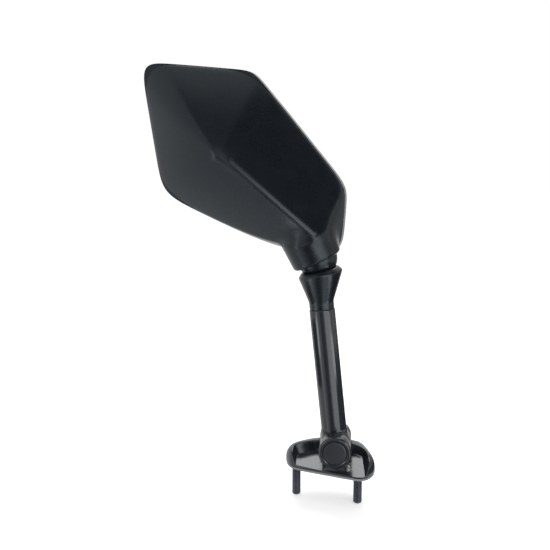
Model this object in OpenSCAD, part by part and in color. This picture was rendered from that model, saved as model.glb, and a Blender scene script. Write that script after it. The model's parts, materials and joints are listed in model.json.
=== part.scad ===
// Motorcycle mirror. A matte moulded head turns on a ball joint at the top of a leaning arm,
// and the arm folds on a bolt between the two ears of a cast base with two studs.
// X is to the right, Y runs along the fold axis from front to back, Z rises along the studs.
// The origin lies midway between the studs, on the underside of the gasket.

/* [Mounting base] */
// Distance between the two studs
stud_spacing = 44; // [42:0.5:46]
// Diameter of a stud
stud_d = 6; // [5:0.5:7]
// Length of a stud below the gasket
stud_drop = 22.4; // [15:1:35]
// Turn of the base about Z, away from the fold axis
base_skew = -12; // [-16:1:-8]
// Thickness of the gasket
gasket_t = 1.5; // [1:0.1:3]
// Thickness of the casting under its pocket
floor_t = 3.1; // [2.6:0.1:5]
// Height of the casting's rear wall above the pocket floor
wall_h = 11.4; // [10:0.2:13.4]
// Height of the casting's upright edge
edge_h = 0.6; // [0.4:0.1:2]
// Distance from the middle of the casting to its front edge
base_front = 15.4; // [15:0.2:18]
// Distance from the middle of the casting to its rear edge
base_rear = 23; // [20:0.5:25]
// Distance from the middle of the casting to its left end
base_left = 33; // [32:0.2:36]
// Distance from the middle of the casting to its right end
base_right = 33.2; // [32:0.2:36]

/* [Fold hinge] */
// Place of the fold axis along X
fold_x = 5.7; // [4:0.2:7]
// Place of the front ear's face along Y
fold_front = -14.6; // [-15.4:0.2:-14]
// Outer diameter of the ears and the tongue
barrel_d = 22.4; // [21:0.2:24]
// Width of the front ear
front_ear_w = 10.6; // [10:0.1:12]
// Width of the arm's tongue
tongue_w = 17; // [16:0.2:18]
// Width of the rear ear
rear_ear_w = 5.4; // [4:0.2:7]
// Thickness of a friction washer
washer_t = 1; // [0.8:0.1:1.5]
// Diameter of the pivot bolt
pivot_d = 8; // [6:0.5:8]
// Diameter of the round cap
cap_d = 15.8; // [15.6:0.1:16.6]
// Chamfer round the front ear and the cap
ear_chamfer = 1.25; // [0.8:0.05:1.6]
// Gap between the tongue and the casting
tongue_gap = 0.45; // [0.3:0.05:0.8]

/* [Arm and boot] */
// Diameter of the arm
arm_d = 16.9; // [16:0.1:17]
// Lean of the arm to the left
arm_lean = 6.2; // [0:0.2:12]
// Distance from the fold axis to the centre of the ball
ball_reach = 131; // [120:1:160]
// Length of arm under the boot, from the boot's foot to the arm's top
boot_grip = 16.6; // [14:0.2:20]
// Distance from the arm's top to the centre of the ball
ball_rise = 18; // [17.5:0.1:19]
// Height of the boot's straight foot
boot_foot_h = 5; // [3:0.5:8]
// Wall of the boot round the arm
boot_wall = 1.65; // [1.2:0.05:2.2]
// Diameter of the boot's mouth
mouth_d = 30.2; // [29:0.2:33]
// Lean of the boot's mouth to the left
mouth_lean = 13; // [6:0.5:16]
// Distance of the mouth's widest line below the centre of the ball
mouth_drop = 10.3; // [9.8:0.1:11]

/* [Ball joint] */
// Diameter of the ball
ball_d = 17; // [16:0.2:17.6]
// Diameter of the ball's neck
ball_neck_d = 9; // [8:0.2:9.6]
// Diameter of the threaded shank
shank_d = 10; // [9.8:0.1:11]
// Thickness of the two liners
liner_t = 1.3; // [1:0.1:1.5]
// Running gap between the ball and its liners
liner_gap = 0.15; // [0.1:0.05:0.3]
// Outer diameter of the socket cup
cup_d = 27.4; // [27:0.1:28]
// Diameter of the head's collar
collar_d = 34.2; // [33.4:0.2:36]
// Lean of the collar to the left
collar_lean = 25.5; // [20:0.5:28]
// Widening of the collar on each side, in degrees
collar_flare = 2.5; // [0:0.5:4]
// Distance of the collar's foot below the centre of the ball
collar_foot = 2.2; // [1.8:0.1:3]

/* [Head] */
// Distance of the head's peak to the left of the ball
peak_left = 62.3; // [58:0.5:66]
// Distance of the head's peak above the ball
peak_up = 67.3; // [64:0.5:72]
// Distance of the head's open rim behind the arm
rim_back = 23.4; // [23:0.2:27]
// Depth of the head from its rim to its peak
head_depth = 48; // [42:0.5:56]
// Depth of the upright skirt behind the rim
skirt_h = 11; // [9:0.5:14]
// Wall of the head's shell
shell_t = 2.6; // [2:0.1:3.2]
// Distance from the peak to the top edge
top_reach = 59.9; // [58:0.5:64]
// Distance from the peak to the upper right edge
upper_right_reach = 51; // [49:0.5:55]
// Distance from the peak to the right edge
right_reach = 83.9; // [82:0.5:88]
// Distance from the peak to the bottom edge
bottom_reach = 61.3; // [59:0.5:63]
// Distance from the peak to the lower left edge
lower_left_reach = 43.8; // [42:0.5:47]
// Distance from the peak to the left edge
left_reach = 50.6; // [49:0.5:55]
// Diameter of the raised bead along the ridge
bead_d = 2.8; // [2:0.1:4]

/* [Glass] */
// Thickness of the glass
glass_t = 2.2; // [1.8:0.1:3]
// Radius of the glass's bow
glass_bow_r = 1400; // [1000:100:3000]
// Thickness of the carrier plate
carrier_t = 1.6; // [1.4:0.1:2]
// Thickness of the foam pad at its edge
pad_t = 0.6; // [0.5:0.1:1]
// Width of the rubber edge round the glass
seal_w = 1.4; // [1:0.1:2]

/* [Hidden] */
$fn = 64;

// Colours as the photograph shows them
matte_black = "#24262a";
gloss_black = "#15161a";
rubber_black = "#1e2023";
dark_steel = "#34363a";
foam_grey = "#4a4b4e";
mirror_grey = "#b9bec4";

// Small allowances
overcut = 1;
press_gap = 0.02;
slip_gap = 0.1;
pivot_run = 0.06;
coarse_steps = 32;

// Levels and lines of the base and its hinge
floor_z = gasket_t + floor_t;
wall_z = floor_z + wall_h;
barrel_r = barrel_d / 2;
fold_z = floor_z + barrel_r + tongue_gap;
front_ear_back = fold_front + front_ear_w;
tongue_front = front_ear_back + washer_t;
tongue_back = tongue_front + tongue_w;
rear_ear_front = tongue_back + washer_t;
rear_ear_back = rear_ear_front + rear_ear_w;
arm_y = (tongue_front + tongue_back) / 2;
fold_at = [fold_x, arm_y, fold_z];

// Wider root of a stud, pressed into the casting, and its play in the gasket
stud_root_d = stud_d + 2;
stud_seat = 0.3;
gasket_play = 0.5;

// Pieces on the pivot bolt, from the front
cap_t = 2.2;
cap_sink = 0.3;
cap_seat_gap = 0.3;
bolt_head_t = 2.5;
bolt_head_d = cap_d - 2.6;
spring_disc_t = 0.8;
spring_disc_rise = 0.4;
spring_disc_h = spring_disc_t + spring_disc_rise;
cap_back = fold_front + cap_sink + cap_t;
bolt_head_front = cap_back + cap_seat_gap;
bolt_head_back = bolt_head_front + bolt_head_t;
recess_back = bolt_head_back + 2 * spring_disc_h;
nut_washer_t = 1.4;
nut_h = 6.5;
nut_af = pivot_d * 1.625;
spot_face_d = 2 * pivot_d + 1.6;
bolt_tip = 1.2;

// Arm, boot and ball
arm_top = ball_reach - ball_rise;
boot_low = arm_top - boot_grip;
arm_neck_r = arm_d / 2 - boot_wall - slip_gap;
lock_nut_h = 5;
lock_nut_af = shank_d * 1.5;
ball_r = ball_d / 2;
ball_at = fold_at + ball_reach * [-sin(arm_lean), 0, cos(arm_lean)];
liner_in = ball_r + liner_gap;
liner_out = liner_in + liner_t;
seat_r = liner_out + liner_gap + 0.05;
cup_r = cup_d / 2;
thread_h = 2.4;
neck_swing = 17;
cup_opening = asin((ball_neck_d / 2 + 0.4) / seat_r) + neck_swing;
liner_low = 70;
liner_hole = 36;
liner_edge = 2.4;
mouth_bevel_h = 2.3;
mouth_bevel_w = 2.4;
mouth_gap = 0.3;

// Collar of the head and the pieces in its bore
collar_r = collar_d / 2;
collar_round = 2.6;
collar_shift = 0.4;
collar_top = 12;
collar_dome_h = 15;
collar_top_r = collar_r + collar_top * tan(collar_flare);
bore_r = seat_r + 1.45;
pressure_cup_low = liner_edge + 0.5;
pressure_cup_top = 12.5;
cone_spring_h = 2.1;
cone_spring_t = 1;
preload_h = 4;
preload_low = pressure_cup_top + cone_spring_h;
bore_top = preload_low + preload_h + 0.4;
reach_bore_r = 7.5;
reach_bore_top = 36;

// Head: the faces of its outline, as direction and distance from the peak
ridge_twist = 5.6;
head_step = 6;
plate_step = 10;
skirt_draft = 0.018;
peak = [ball_at.x - peak_left, ball_at.z + peak_up];
rim_y = arm_y + rim_back;
lower_left_face = [-116, lower_left_reach];
upper_right_face = [39.5, upper_right_reach];
top_face = [85, top_reach];
left_face = [188.5, left_reach];
ridge_side_face = [lower_left_face[0] - ridge_twist, lower_left_reach];
bottom_face = [-96, bottom_reach];
right_face = [-4, right_reach];
head_faces = [lower_left_face, bottom_face, right_face, upper_right_face, top_face, left_face];
ridge_faces = [ridge_side_face, upper_right_face, top_face, left_face];
ridge_turn = corner_turn(ridge_side_face, upper_right_face);
head_corners = corners(head_faces);
head_marks = [for (i = [0 : 5]) i == 1 ? (ridge_turn + 360) % 360 : head_corners[i]];
head_turns = turns(head_marks, head_step);
plate_turns = turns(head_corners, plate_step);
head_round = 9.7;
side_steepness = 4;
crease_soft = 0.05;
peak_soft = 0.05;
face_bulge = 0.25;
shoulder = 3;
shell_slope = 1.35;
bead_start = 11;
bead_end = 70;
bead_sink = 0.7;

// Glass and what carries it
glass_sink = 1;
rim_gap = 0.3;
glass_edge_y = rim_y - glass_sink - glass_t;
pad_y = glass_edge_y - slip_gap - pad_t;
carrier_y = pad_y - carrier_t;
glass_inset = shell_t + rim_gap + seal_w;
pad_inset = glass_inset + 1.5;
bow_centre = [14, 0];
boss_d = 5.4;
boss_foot = 1.1;
screw_d = 2.2;
screw_head_d = 4.6;
screw_head_h = 0.8;
screw_l = 9;
screw_share = 0.6;
screw_turns = [134, -144, -14, 61];

// Base: the faces of the casting's outline and of its pocket
base_middle = [2, 2];
base_faces = [
    [-136.6, base_left - 6.2], [-95.5, base_front], [-36, base_right - 1.1], [2, base_right],
    [30, base_right - 4.2], [95, base_rear], [134, base_left - 5.9], [183, base_left]
];
base_round = 12;
base_turns = turns(corners(base_faces), 15);
base_undercut = 0.98;
dome_power = 3.3;
pocket_middle = [3, -3.4];
pocket_floor_faces = [[-90, 40], [22, 22.9], [73.6, 16.1], [95, 12], [120.7, 15.5], [185.4, 24.7]];
pocket_lean = [0, 4, 2.5, 1.5, 2.5, 3.5];
pocket_top_faces = [for (i = [0 : 5]) pocket_floor_faces[i] + [0, pocket_lean[i]]];
pocket_turns = turns(corners(pocket_floor_faces), 30);
pocket_round = 28;
pocket_fillet = 2.4;

// Adds up the numbers in a list
function total(list) = list * [for (x = list) 1];

// Size of a plan point against an outline given by its faces: 1 on the outline, 0 at the middle.
// Each face has a direction and a distance. A high power keeps the corners crisp.
function gauge(v, faces, power, shrink = 0) =
    let (shares = [for (f = faces) max(0, v * [cos(f[0]), sin(f[0])] / (f[1] - shrink))])
    pow(total([for (s = shares) pow(s, power)]), 1 / power);

// Direction of the corner where two faces meet
function corner_turn(f, g) =
    atan2(f[1] * cos(g[0]) - g[1] * cos(f[0]), g[1] * sin(f[0]) - f[1] * sin(g[0])) + 180;

// List of numbers in rising order, each kept once
function sorted(list) =
    len(list) < 2 ? list
    : concat(
        sorted([for (x = list) if (x < list[0]) x]), [list[0]],
        sorted([for (x = list) if (x > list[0]) x])
    );

// Directions of the corners between neighbouring faces
function corners(faces) = [
    for (i = [0 : len(faces) - 1]) (corner_turn(faces[i], faces[(i + 1) % len(faces)]) + 360) % 360
];

// Directions between corners, close together beside each of them
function turns(marks, step) =
    let (list = sorted(marks), n = len(list))
    [
        for (i = [0 : n - 1])
            let (start = list[i], span = i < n - 1 ? list[i + 1] - start : list[0] + 360 - start)
            let (count = max(2, round(2 + span / step)))
            for (j = [0 : count - 1]) start + span * (0.5 - 0.5 * cos(180 * j / count))
    ];

// Outline points from its faces, drawn in by shrink
function outline(faces, power, directions, shrink = 0) = [
    for (a = directions) [cos(a), sin(a)] / gauge([cos(a), sin(a)], faces, power, shrink)
];

// Smooth lower value of two
function soft_min(a, b, soft) = (a + b - sqrt(pow(a - b, 2) + soft * soft)) / 2;

// Rounds the tip of a rise from 0 to 1
function crown(t, soft) =
    (sqrt(1 + soft * soft) - sqrt(pow(1 - t, 2) + soft * soft)) / (sqrt(1 + soft * soft) - soft);

// Rise of the head's faces at a plan point from the peak, from 0 at the outline to 1 at the peak
function head_rise(v) =
    let (
        slope = 1 - gauge(v, ridge_faces, head_round),
        side = side_steepness * (1 - gauge(v, head_faces, head_round)),
        t = max(0, soft_min(slope, side, crease_soft))
    )
    crown(t * (1 + face_bulge * (1 - t)), peak_soft);

// Depth of the head's outer face at a plan point from the peak; the skirt's draft draws it in
function face_y(v) =
    let (w = v / (1 - skirt_draft))
    rim_y - skirt_h - (head_depth - skirt_h) * head_rise(w)
    + shoulder * pow(min(1, gauge(w, head_faces, head_round)), 24);

// Depth of the bowed glass below its middle at a plan point from the peak
function bow(v) = glass_bow_r - sqrt(pow(glass_bow_r, 2) - pow(norm(v - bow_centre), 2));

// Plan point of the head from the peak, at a depth
function head_point(v, y) = [peak.x + v.x, y, peak.y + v.y];

// Closed solid between a start point, rings of points and an end point
module pole_loft(start, rings, end) {
    n = len(rings[0]);
    last = len(rings) - 1;
    points = concat([start], [for (r = rings) each r], [end]);
    start_fan = [for (i = [0 : n - 1]) [0, 1 + (i + 1) % n, 1 + i]];
    bands = [
        for (r = [0 : last - 1], i = [0 : n - 1])
            let (a = 1 + r * n, b = a + n, k = (i + 1) % n)
            each [[a + i, a + k, b + k], [a + i, b + k, b + i]]
    ];
    end_fan = [
        for (i = [0 : n - 1]) [1 + last * n + i, 1 + last * n + (i + 1) % n, 1 + (last + 1) * n]
    ];
    polyhedron(points = points, faces = concat(start_fan, bands, end_fan));
}

// Frames of the three leaning parts
module on_fold(y) {
    translate([fold_x, y, fold_z]) rotate([-90, 0, 0]) children();
}

module on_arm(s) {
    translate(fold_at) rotate([0, -arm_lean, 0]) translate([0, 0, s]) children();
}

module on_ball(lean, s) {
    translate(ball_at) rotate([0, -lean, 0]) translate([0, 0, s]) children();
}

// Round bar with a hole through it
module ring(outer_d, inner_d, h) {
    difference() {
        cylinder(d = outer_d, h = h);
        translate([0, 0, -overcut]) cylinder(d = inner_d, h = h + 2 * overcut);
    }
}

// Round bar with a chamfer at its lower end
module chamfered(d, h, c) {
    cylinder(d1 = d - 2 * c, d2 = d, h = c);
    translate([0, 0, c]) cylinder(d = d, h = h - c);
}

// Conical disc spring
module disc_spring(outer_d, inner_d, t, rise) {
    rotate_extrude() polygon([
        [inner_d / 2, rise], [inner_d / 2, rise + t], [outer_d / 2, t], [outer_d / 2, 0]
    ]);
}

// Hexagon bar across its flats
module hex_bar(across, h) {
    cylinder(d = across / cos(30), h = h, $fn = 6);
}

// Base casting

// Plan outline of the casting as a plate
module base_plate(z, h, shrink) {
    rotate([0, 0, base_skew]) translate([base_middle.x, base_middle.y, z])
        linear_extrude(h) polygon(base_undercut * outline(base_faces, base_round, base_turns, shrink));
}

// Rounded body of the casting before its pocket is cut
module base_dome() {
    edge_z = gasket_t + edge_h;
    edge = outline(base_faces, base_round, base_turns);
    shares = [0.3, 0.55, 0.72, 0.83, 0.9, 0.95, 0.985, 1];
    undercuts = [[0.985, 0.4], [base_undercut, 0]];
    rings = concat(
        [
            for (s = shares)
                [for (v = edge) [s * v.x, s * v.y, edge_z + (wall_z - edge_z) * dome_height(s)]]
        ],
        [
            for (k = undercuts)
                [for (v = edge) [k[0] * v.x, k[0] * v.y, gasket_t + k[1] * edge_h]]
        ]
    );
    rotate([0, 0, base_skew]) translate([base_middle.x, base_middle.y, 0])
        pole_loft([0, 0, wall_z], rings, [0, 0, gasket_t]);
}

function dome_height(s) = pow(1 - pow(s, dome_power), 1 / dome_power);

// Space above the pocket's floor, with a fillet at its foot and leaning walls, open to the front
module pocket_space() {
    steps = [[0, 1], [0.12, 0.5], [0.5, 0.12], [1, 0]];
    top_z = wall_z + overcut;
    floor_rings = [
        for (s = steps)
            [for (v = outline(pocket_floor_faces, pocket_round, pocket_turns, s[1] * pocket_fillet))
                [v.x, v.y, floor_z + s[0] * pocket_fillet]]
    ];
    top_ring = [for (v = outline(pocket_top_faces, pocket_round, pocket_turns)) [v.x, v.y, top_z]];
    rings = [for (i = [len(floor_rings) - 1 : -1 : 0]) floor_rings[i]];
    rotate([0, 0, base_skew]) translate([pocket_middle.x, pocket_middle.y, 0])
        pole_loft([0, 0, top_z], concat([top_ring], rings), [0, 0, floor_z]);
}

module base_casting() {
    recess_lip_d = cap_d - 1.2;
    lip_bevel = ear_chamfer + overcut;
    color(gloss_black) difference() {
        union() {
            difference() {
                base_dome();
                pocket_space();
                on_fold(front_ear_back)
                    cylinder(r = barrel_r + tongue_gap, h = rear_ear_front - front_ear_back);
            }
            on_fold(fold_front) chamfered(barrel_d, front_ear_w, ear_chamfer);
            ear_foot(fold_front + 2 * ear_chamfer, front_ear_back, 0.62 * barrel_d);
            on_fold(rear_ear_front) cylinder(d = barrel_d, h = rear_ear_w);
            ear_foot(rear_ear_front, rear_ear_back, 0.94 * barrel_d);
        }
        on_fold(fold_front - overcut)
            cylinder(d = cap_d + 2 * press_gap, h = recess_back - fold_front + overcut);
        on_fold(fold_front - overcut)
            cylinder(d1 = recess_lip_d + 2 * lip_bevel, d2 = recess_lip_d, h = lip_bevel);
        on_fold(recess_back - overcut)
            cylinder(d = pivot_d + 2 * slip_gap, h = rear_ear_back - recess_back + 2 * overcut);
        on_fold(rear_ear_back) cylinder(d = spot_face_d, h = base_rear);
        for (side = [-1, 1]) at_stud(side, gasket_t - overcut)
            cylinder(d = stud_root_d + 2 * press_gap, h = stud_bite() + overcut);
    }
}

// Block between an ear and the casting's floor
module ear_foot(y1, y2, w) {
    translate([fold_x - w / 2, y1, gasket_t]) cube([w, y2 - y1, fold_z - barrel_r * 0.72 - gasket_t]);
}

module at_stud(side, z) {
    rotate([0, 0, base_skew]) translate([side * stud_spacing / 2, 0, z]) children();
}

// Depth that a stud reaches into the casting
function stud_bite() = floor_t - 0.6;

module base_gasket() {
    color(rubber_black) difference() {
        base_plate(0, gasket_t, 0.4);
        for (side = [-1, 1]) at_stud(side, -overcut)
            cylinder(d = stud_root_d + 2 * gasket_play, h = gasket_t + 2 * overcut);
    }
}

module stud(side) {
    tip = stud_d / 8;
    color(dark_steel) {
        at_stud(side, -stud_drop) chamfered(stud_d, stud_drop + stud_seat, tip);
        at_stud(side, stud_seat) cylinder(d = stud_root_d, h = gasket_t + stud_bite() - stud_seat);
    }
}

// Hinge pieces on the pivot bolt

module pivot_cap() {
    color(gloss_black) on_fold(fold_front + cap_sink) chamfered(cap_d, cap_t, 0.5);
}

module pivot_bolt() {
    socket_af = pivot_d * 0.62;
    shank_end = rear_ear_back + nut_washer_t + nut_h + bolt_tip;
    color(dark_steel) difference() {
        union() {
            on_fold(bolt_head_front) chamfered(bolt_head_d, bolt_head_t, 0.4);
            on_fold(bolt_head_back) cylinder(d = pivot_d, h = shank_end - bolt_head_back);
        }
        on_fold(bolt_head_front - overcut) hex_bar(socket_af, overcut + bolt_head_t * 0.7);
    }
}

// The two disc springs stand edge to edge, so that their rims meet
module disc_spring_front() {
    color(dark_steel) on_fold(bolt_head_back + spring_disc_h) mirror([0, 0, 1])
        disc_spring(bolt_head_d + 1, pivot_d + 2 * slip_gap, spring_disc_t, spring_disc_rise);
}

module disc_spring_rear() {
    color(dark_steel) on_fold(bolt_head_back + spring_disc_h)
        disc_spring(bolt_head_d + 1, pivot_d + 2 * slip_gap, spring_disc_t, spring_disc_rise);
}

module friction_washer(y) {
    color(dark_steel) on_fold(y) ring(barrel_d - 3.6, pivot_d + 2 * slip_gap, washer_t);
}

module nut_washer() {
    color(dark_steel) on_fold(rear_ear_back) ring(pivot_d * 2, pivot_d + 2 * slip_gap, nut_washer_t);
}

module pivot_nut() {
    collar_h = nut_h * 0.25;
    color(dark_steel) on_fold(rear_ear_back + nut_washer_t) difference() {
        union() {
            hex_bar(nut_af, nut_h - collar_h);
            cylinder(d = nut_af * 0.9, h = nut_h);
        }
        translate([0, 0, -overcut]) cylinder(d = pivot_d + 2 * press_gap, h = nut_h + 2 * overcut);
    }
}

// Arm, ball stud and boot

module arm() {
    tongue_chamfer = 0.6;
    flare_low = barrel_r - 3;
    flare_h = 5;
    color(gloss_black) difference() {
        union() {
            on_fold(tongue_front) chamfered(barrel_d, tongue_w / 2, tongue_chamfer);
            on_fold(tongue_back) mirror([0, 0, 1]) chamfered(barrel_d, tongue_w / 2, tongue_chamfer);
            on_arm(0) cylinder(d = arm_d, h = boot_low - 0.2);
            on_arm(0) intersection() {
                translate([0, 0, flare_low]) cylinder(d1 = arm_d + 2, d2 = arm_d, h = flare_h);
                translate([-barrel_r, -tongue_w / 2, 0]) cube([barrel_d, tongue_w, flare_low + flare_h]);
            }
            on_arm(0) cylinder(r = arm_neck_r, h = arm_top);
        }
        on_fold(tongue_front - overcut) cylinder(d = pivot_d + 2 * pivot_run, h = tongue_w + 2 * overcut);
        on_arm(boot_low - 1) cylinder(d = shank_d + 2 * press_gap, h = boot_grip + 1 + overcut);
    }
}

module ball_stud() {
    color(dark_steel) {
        on_arm(boot_low) chamfered(shank_d, boot_grip + lock_nut_h, 0.8);
        on_arm(arm_top) cylinder(d = ball_neck_d, h = ball_rise - ball_r / 2);
        translate(ball_at) sphere(r = ball_r);
    }
}

module lock_nut() {
    color(dark_steel) on_arm(arm_top) difference() {
        hex_bar(lock_nut_af, lock_nut_h);
        translate([0, 0, -overcut]) cylinder(d = shank_d + 2 * press_gap, h = lock_nut_h + 2 * overcut);
    }
}

module boot() {
    cone_low = boot_low + boot_foot_h;
    foot_r = arm_d / 2;
    nut_clear = 2.3;
    root_h = 0.6;
    color(rubber_black) difference() {
        union() {
            on_arm(boot_low) cylinder(r = foot_r, h = boot_foot_h);
            hull() {
                on_arm(cone_low - root_h)
                    cylinder(r1 = foot_r - root_h, r2 = foot_r, h = root_h, $fn = coarse_steps);
                on_ball(mouth_lean, -mouth_drop - 1) cylinder(d = mouth_d, h = 1);
                on_ball(mouth_lean, -mouth_drop)
                    cylinder(d1 = mouth_d, d2 = mouth_d - 2 * mouth_bevel_w, h = mouth_bevel_h);
            }
        }
        on_arm(boot_low - overcut) cylinder(r = arm_neck_r + slip_gap / 2, h = boot_grip);
        hull() {
            on_arm(cone_low + 1) cylinder(r = arm_neck_r + slip_gap / 2, h = 0.1, $fn = coarse_steps);
            on_arm(arm_top + lock_nut_h + 1)
                cylinder(d = lock_nut_af / cos(30) + 2 * nut_clear, h = 0.1, $fn = coarse_steps);
        }
        translate(ball_at) sphere(r = cup_r + mouth_gap);
    }
}

// Ball joint

module lower_liner() {
    reach = liner_out + overcut;
    color(foam_grey) on_ball(arm_lean, 0) difference() {
        sphere(r = liner_out);
        sphere(r = liner_in);
        translate([0, 0, -liner_out * cos(liner_low)]) cylinder(r = reach, h = 2 * reach);
        mirror([0, 0, 1]) cylinder(r1 = 0, r2 = reach * tan(liner_hole), h = reach);
    }
}

module upper_liner() {
    reach = liner_out + overcut;
    color(foam_grey) on_ball(collar_lean, 0) difference() {
        sphere(r = liner_out);
        sphere(r = liner_in);
        translate([0, 0, liner_edge - 2 * reach]) cylinder(r = reach, h = 2 * reach);
    }
}

module socket_cup() {
    reach = cup_r + overcut;
    color(matte_black) difference() {
        on_ball(collar_lean, 0) union() {
            difference() {
                sphere(r = cup_r);
                cylinder(r = reach, h = reach);
            }
            cylinder(r = cup_r, h = thread_h);
        }
        translate(ball_at) sphere(r = seat_r);
        on_ball(collar_lean, 0) cylinder(r = seat_r, h = reach);
        on_ball(arm_lean, 0) mirror([0, 0, 1]) cylinder(r1 = 0, r2 = reach * tan(cup_opening), h = reach);
    }
}

module pressure_cup() {
    color(foam_grey) difference() {
        on_ball(collar_lean, pressure_cup_low)
            cylinder(r = bore_r - slip_gap, h = pressure_cup_top - pressure_cup_low);
        translate(ball_at) sphere(r = seat_r);
    }
}

module pressure_spring() {
    color(dark_steel) on_ball(collar_lean, pressure_cup_top)
        disc_spring(2 * (bore_r - 0.6), 2 * (bore_r - 4.6), cone_spring_t, cone_spring_h - cone_spring_t);
}

module preload_ring() {
    slot_w = 3;
    slot_depth = 1.6;
    color(dark_steel) on_ball(collar_lean, preload_low) difference() {
        ring(2 * (bore_r - press_gap), 10, preload_h);
        translate([-bore_r, -slot_w / 2, preload_h - slot_depth])
            cube([2 * bore_r, slot_w, slot_depth + overcut]);
    }
}

// Head

// Moulded shell: sloping faces over an upright skirt, open at the rim
module head_shell() {
    outer = outline(head_faces, head_round, head_turns);
    inner = outline(head_faces, head_round, head_turns, shell_t);
    inner_drop = shell_slope * shell_t;
    outer_shares = [0.05, 0.13, 0.24, 0.37, 0.51, 0.65, 0.76, 0.84, 0.9, 0.945, 0.975, 0.992, 1];
    inner_shares = [1, 0.96, 0.88, 0.76, 0.6, 0.4, 0.2];
    drawn_in = (1 - skirt_draft) * outer;
    rings = concat(
        [for (s = outer_shares) [for (v = drawn_in) head_point(s * v, face_y(s * v))]],
        [[for (v = outer) head_point(v, rim_y)]],
        [[for (v = inner) head_point(v, rim_y)]],
        [for (s = inner_shares) [for (v = inner) head_point(s * v, face_y(s * v) + inner_drop)]]
    );
    tip = [0, 0];
    pole_loft(head_point(tip, face_y(tip)), rings, head_point(tip, face_y(tip) + inner_drop));
}

// Raised bead from beside the peak down the ridge to the collar
module ridge_bead() {
    spans = 4;
    step = (bead_end - bead_start) / spans;
    for (i = [0 : spans - 1]) hull() {
        bead_ball(bead_start + i * step);
        bead_ball(bead_start + (i + 1) * step);
    }
}

module bead_ball(reach) {
    v = reach * [cos(ridge_turn), sin(ridge_turn)];
    translate(head_point(v, face_y(v) + bead_sink)) sphere(d = bead_d, $fn = 16);
}

// Outer form of the collar: a rounded foot, a slight cone and a dome inside the shell
module collar_body() {
    round_middle = [collar_r - collar_round, collar_round - collar_foot];
    foot = [for (a = [-90 : 15 : 0]) round_middle + collar_round * [cos(a), sin(a)]];
    dome = [for (a = [0 : 15 : 75]) [collar_top_r * cos(a), collar_top + collar_dome_h * sin(a)]];
    on_ball(collar_lean, 0) translate([-collar_shift, 0, 0]) rotate_extrude()
        polygon(concat([[0, -collar_foot]], foot, dome, [[0, collar_top + collar_dome_h]]));
}

function screw_spot(i) =
    let (a = screw_turns[i], d = [cos(a), sin(a)])
    screw_share * d / gauge(d, head_faces, head_round);

module screw_boss(i) {
    v = screw_spot(i);
    low_y = face_y(v) + boss_foot * shell_t;
    translate(head_point(v, low_y)) rotate([-90, 0, 0]) cylinder(d = boss_d, h = carrier_y - low_y);
}

module housing() {
    color(matte_black) difference() {
        union() {
            head_shell();
            collar_body();
            ridge_bead();
            for (i = [0 : 3]) screw_boss(i);
        }
        on_ball(collar_lean, -collar_foot - overcut)
            cylinder(r = cup_r + press_gap, h = collar_foot + overcut + thread_h + slip_gap);
        on_ball(collar_lean, 0) cylinder(r = bore_r, h = bore_top);
        on_ball(collar_lean, 0) cylinder(r = reach_bore_r, h = reach_bore_top);
        for (i = [0 : 3])
            translate(head_point(screw_spot(i), carrier_y + overcut)) rotate([90, 0, 0])
                cylinder(d = screw_d + 2 * press_gap, h = screw_l + 2 * overcut);
    }
}

// Glass and what carries it

module glass_carrier() {
    color(foam_grey) difference() {
        translate([peak.x, pad_y, peak.y]) rotate([90, 0, 0]) linear_extrude(carrier_t)
            polygon(outline(head_faces, head_round, plate_turns, shell_t + rim_gap));
        for (i = [0 : 3]) translate(head_point(screw_spot(i), pad_y + overcut)) rotate([90, 0, 0]) {
            cylinder(d = screw_d + 2 * slip_gap, h = carrier_t + 2 * overcut);
            cylinder(d = screw_head_d + 4 * slip_gap, h = overcut + screw_head_h);
        }
    }
}

module carrier_screw(i) {
    color(dark_steel) translate(head_point(screw_spot(i), pad_y)) rotate([90, 0, 0]) {
        cylinder(d = screw_head_d, h = screw_head_h);
        cylinder(d = screw_d, h = screw_l);
    }
}

// Bowed plate between two depths, each with or without the bow
module bowed_plate(shrink, back_y, back_bow, front_y, front_bow) {
    edge = outline(head_faces, head_round, plate_turns, shrink);
    rings = concat(
        [
            for (s = [0.35, 0.7, 1])
                [for (v = edge) head_point(s * v, back_y + back_bow * lift(s * v))]
        ],
        [
            for (s = [1, 0.7, 0.35])
                [for (v = edge) head_point(s * v, front_y + front_bow * lift(s * v))]
        ]
    );
    tip_lift = lift([0, 0]);
    pole_loft(
        head_point([0, 0], back_y + back_bow * tip_lift), rings,
        head_point([0, 0], front_y + front_bow * tip_lift)
    );
}

// Rise of the bowed glass above its lowest corner
function lift(v) = bow(far_corner()) - bow(v);
function far_corner() = left_reach * [-1.2, 1];

module glass_pad() {
    color(foam_grey) bowed_plate(pad_inset, pad_y, 0, pad_y + pad_t, 1);
}

module mirror_glass() {
    color(mirror_grey) bowed_plate(glass_inset, glass_edge_y, 1, glass_edge_y + glass_t, 1);
}

module glass_seal() {
    seal_h = rim_y - pad_y - 0.4;
    color(rubber_black) translate([peak.x, pad_y + seal_h, peak.y]) rotate([90, 0, 0])
        linear_extrude(seal_h) difference() {
            polygon(outline(head_faces, head_round, plate_turns, shell_t + rim_gap));
            polygon(outline(head_faces, head_round, plate_turns, glass_inset - slip_gap));
        }
}

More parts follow.
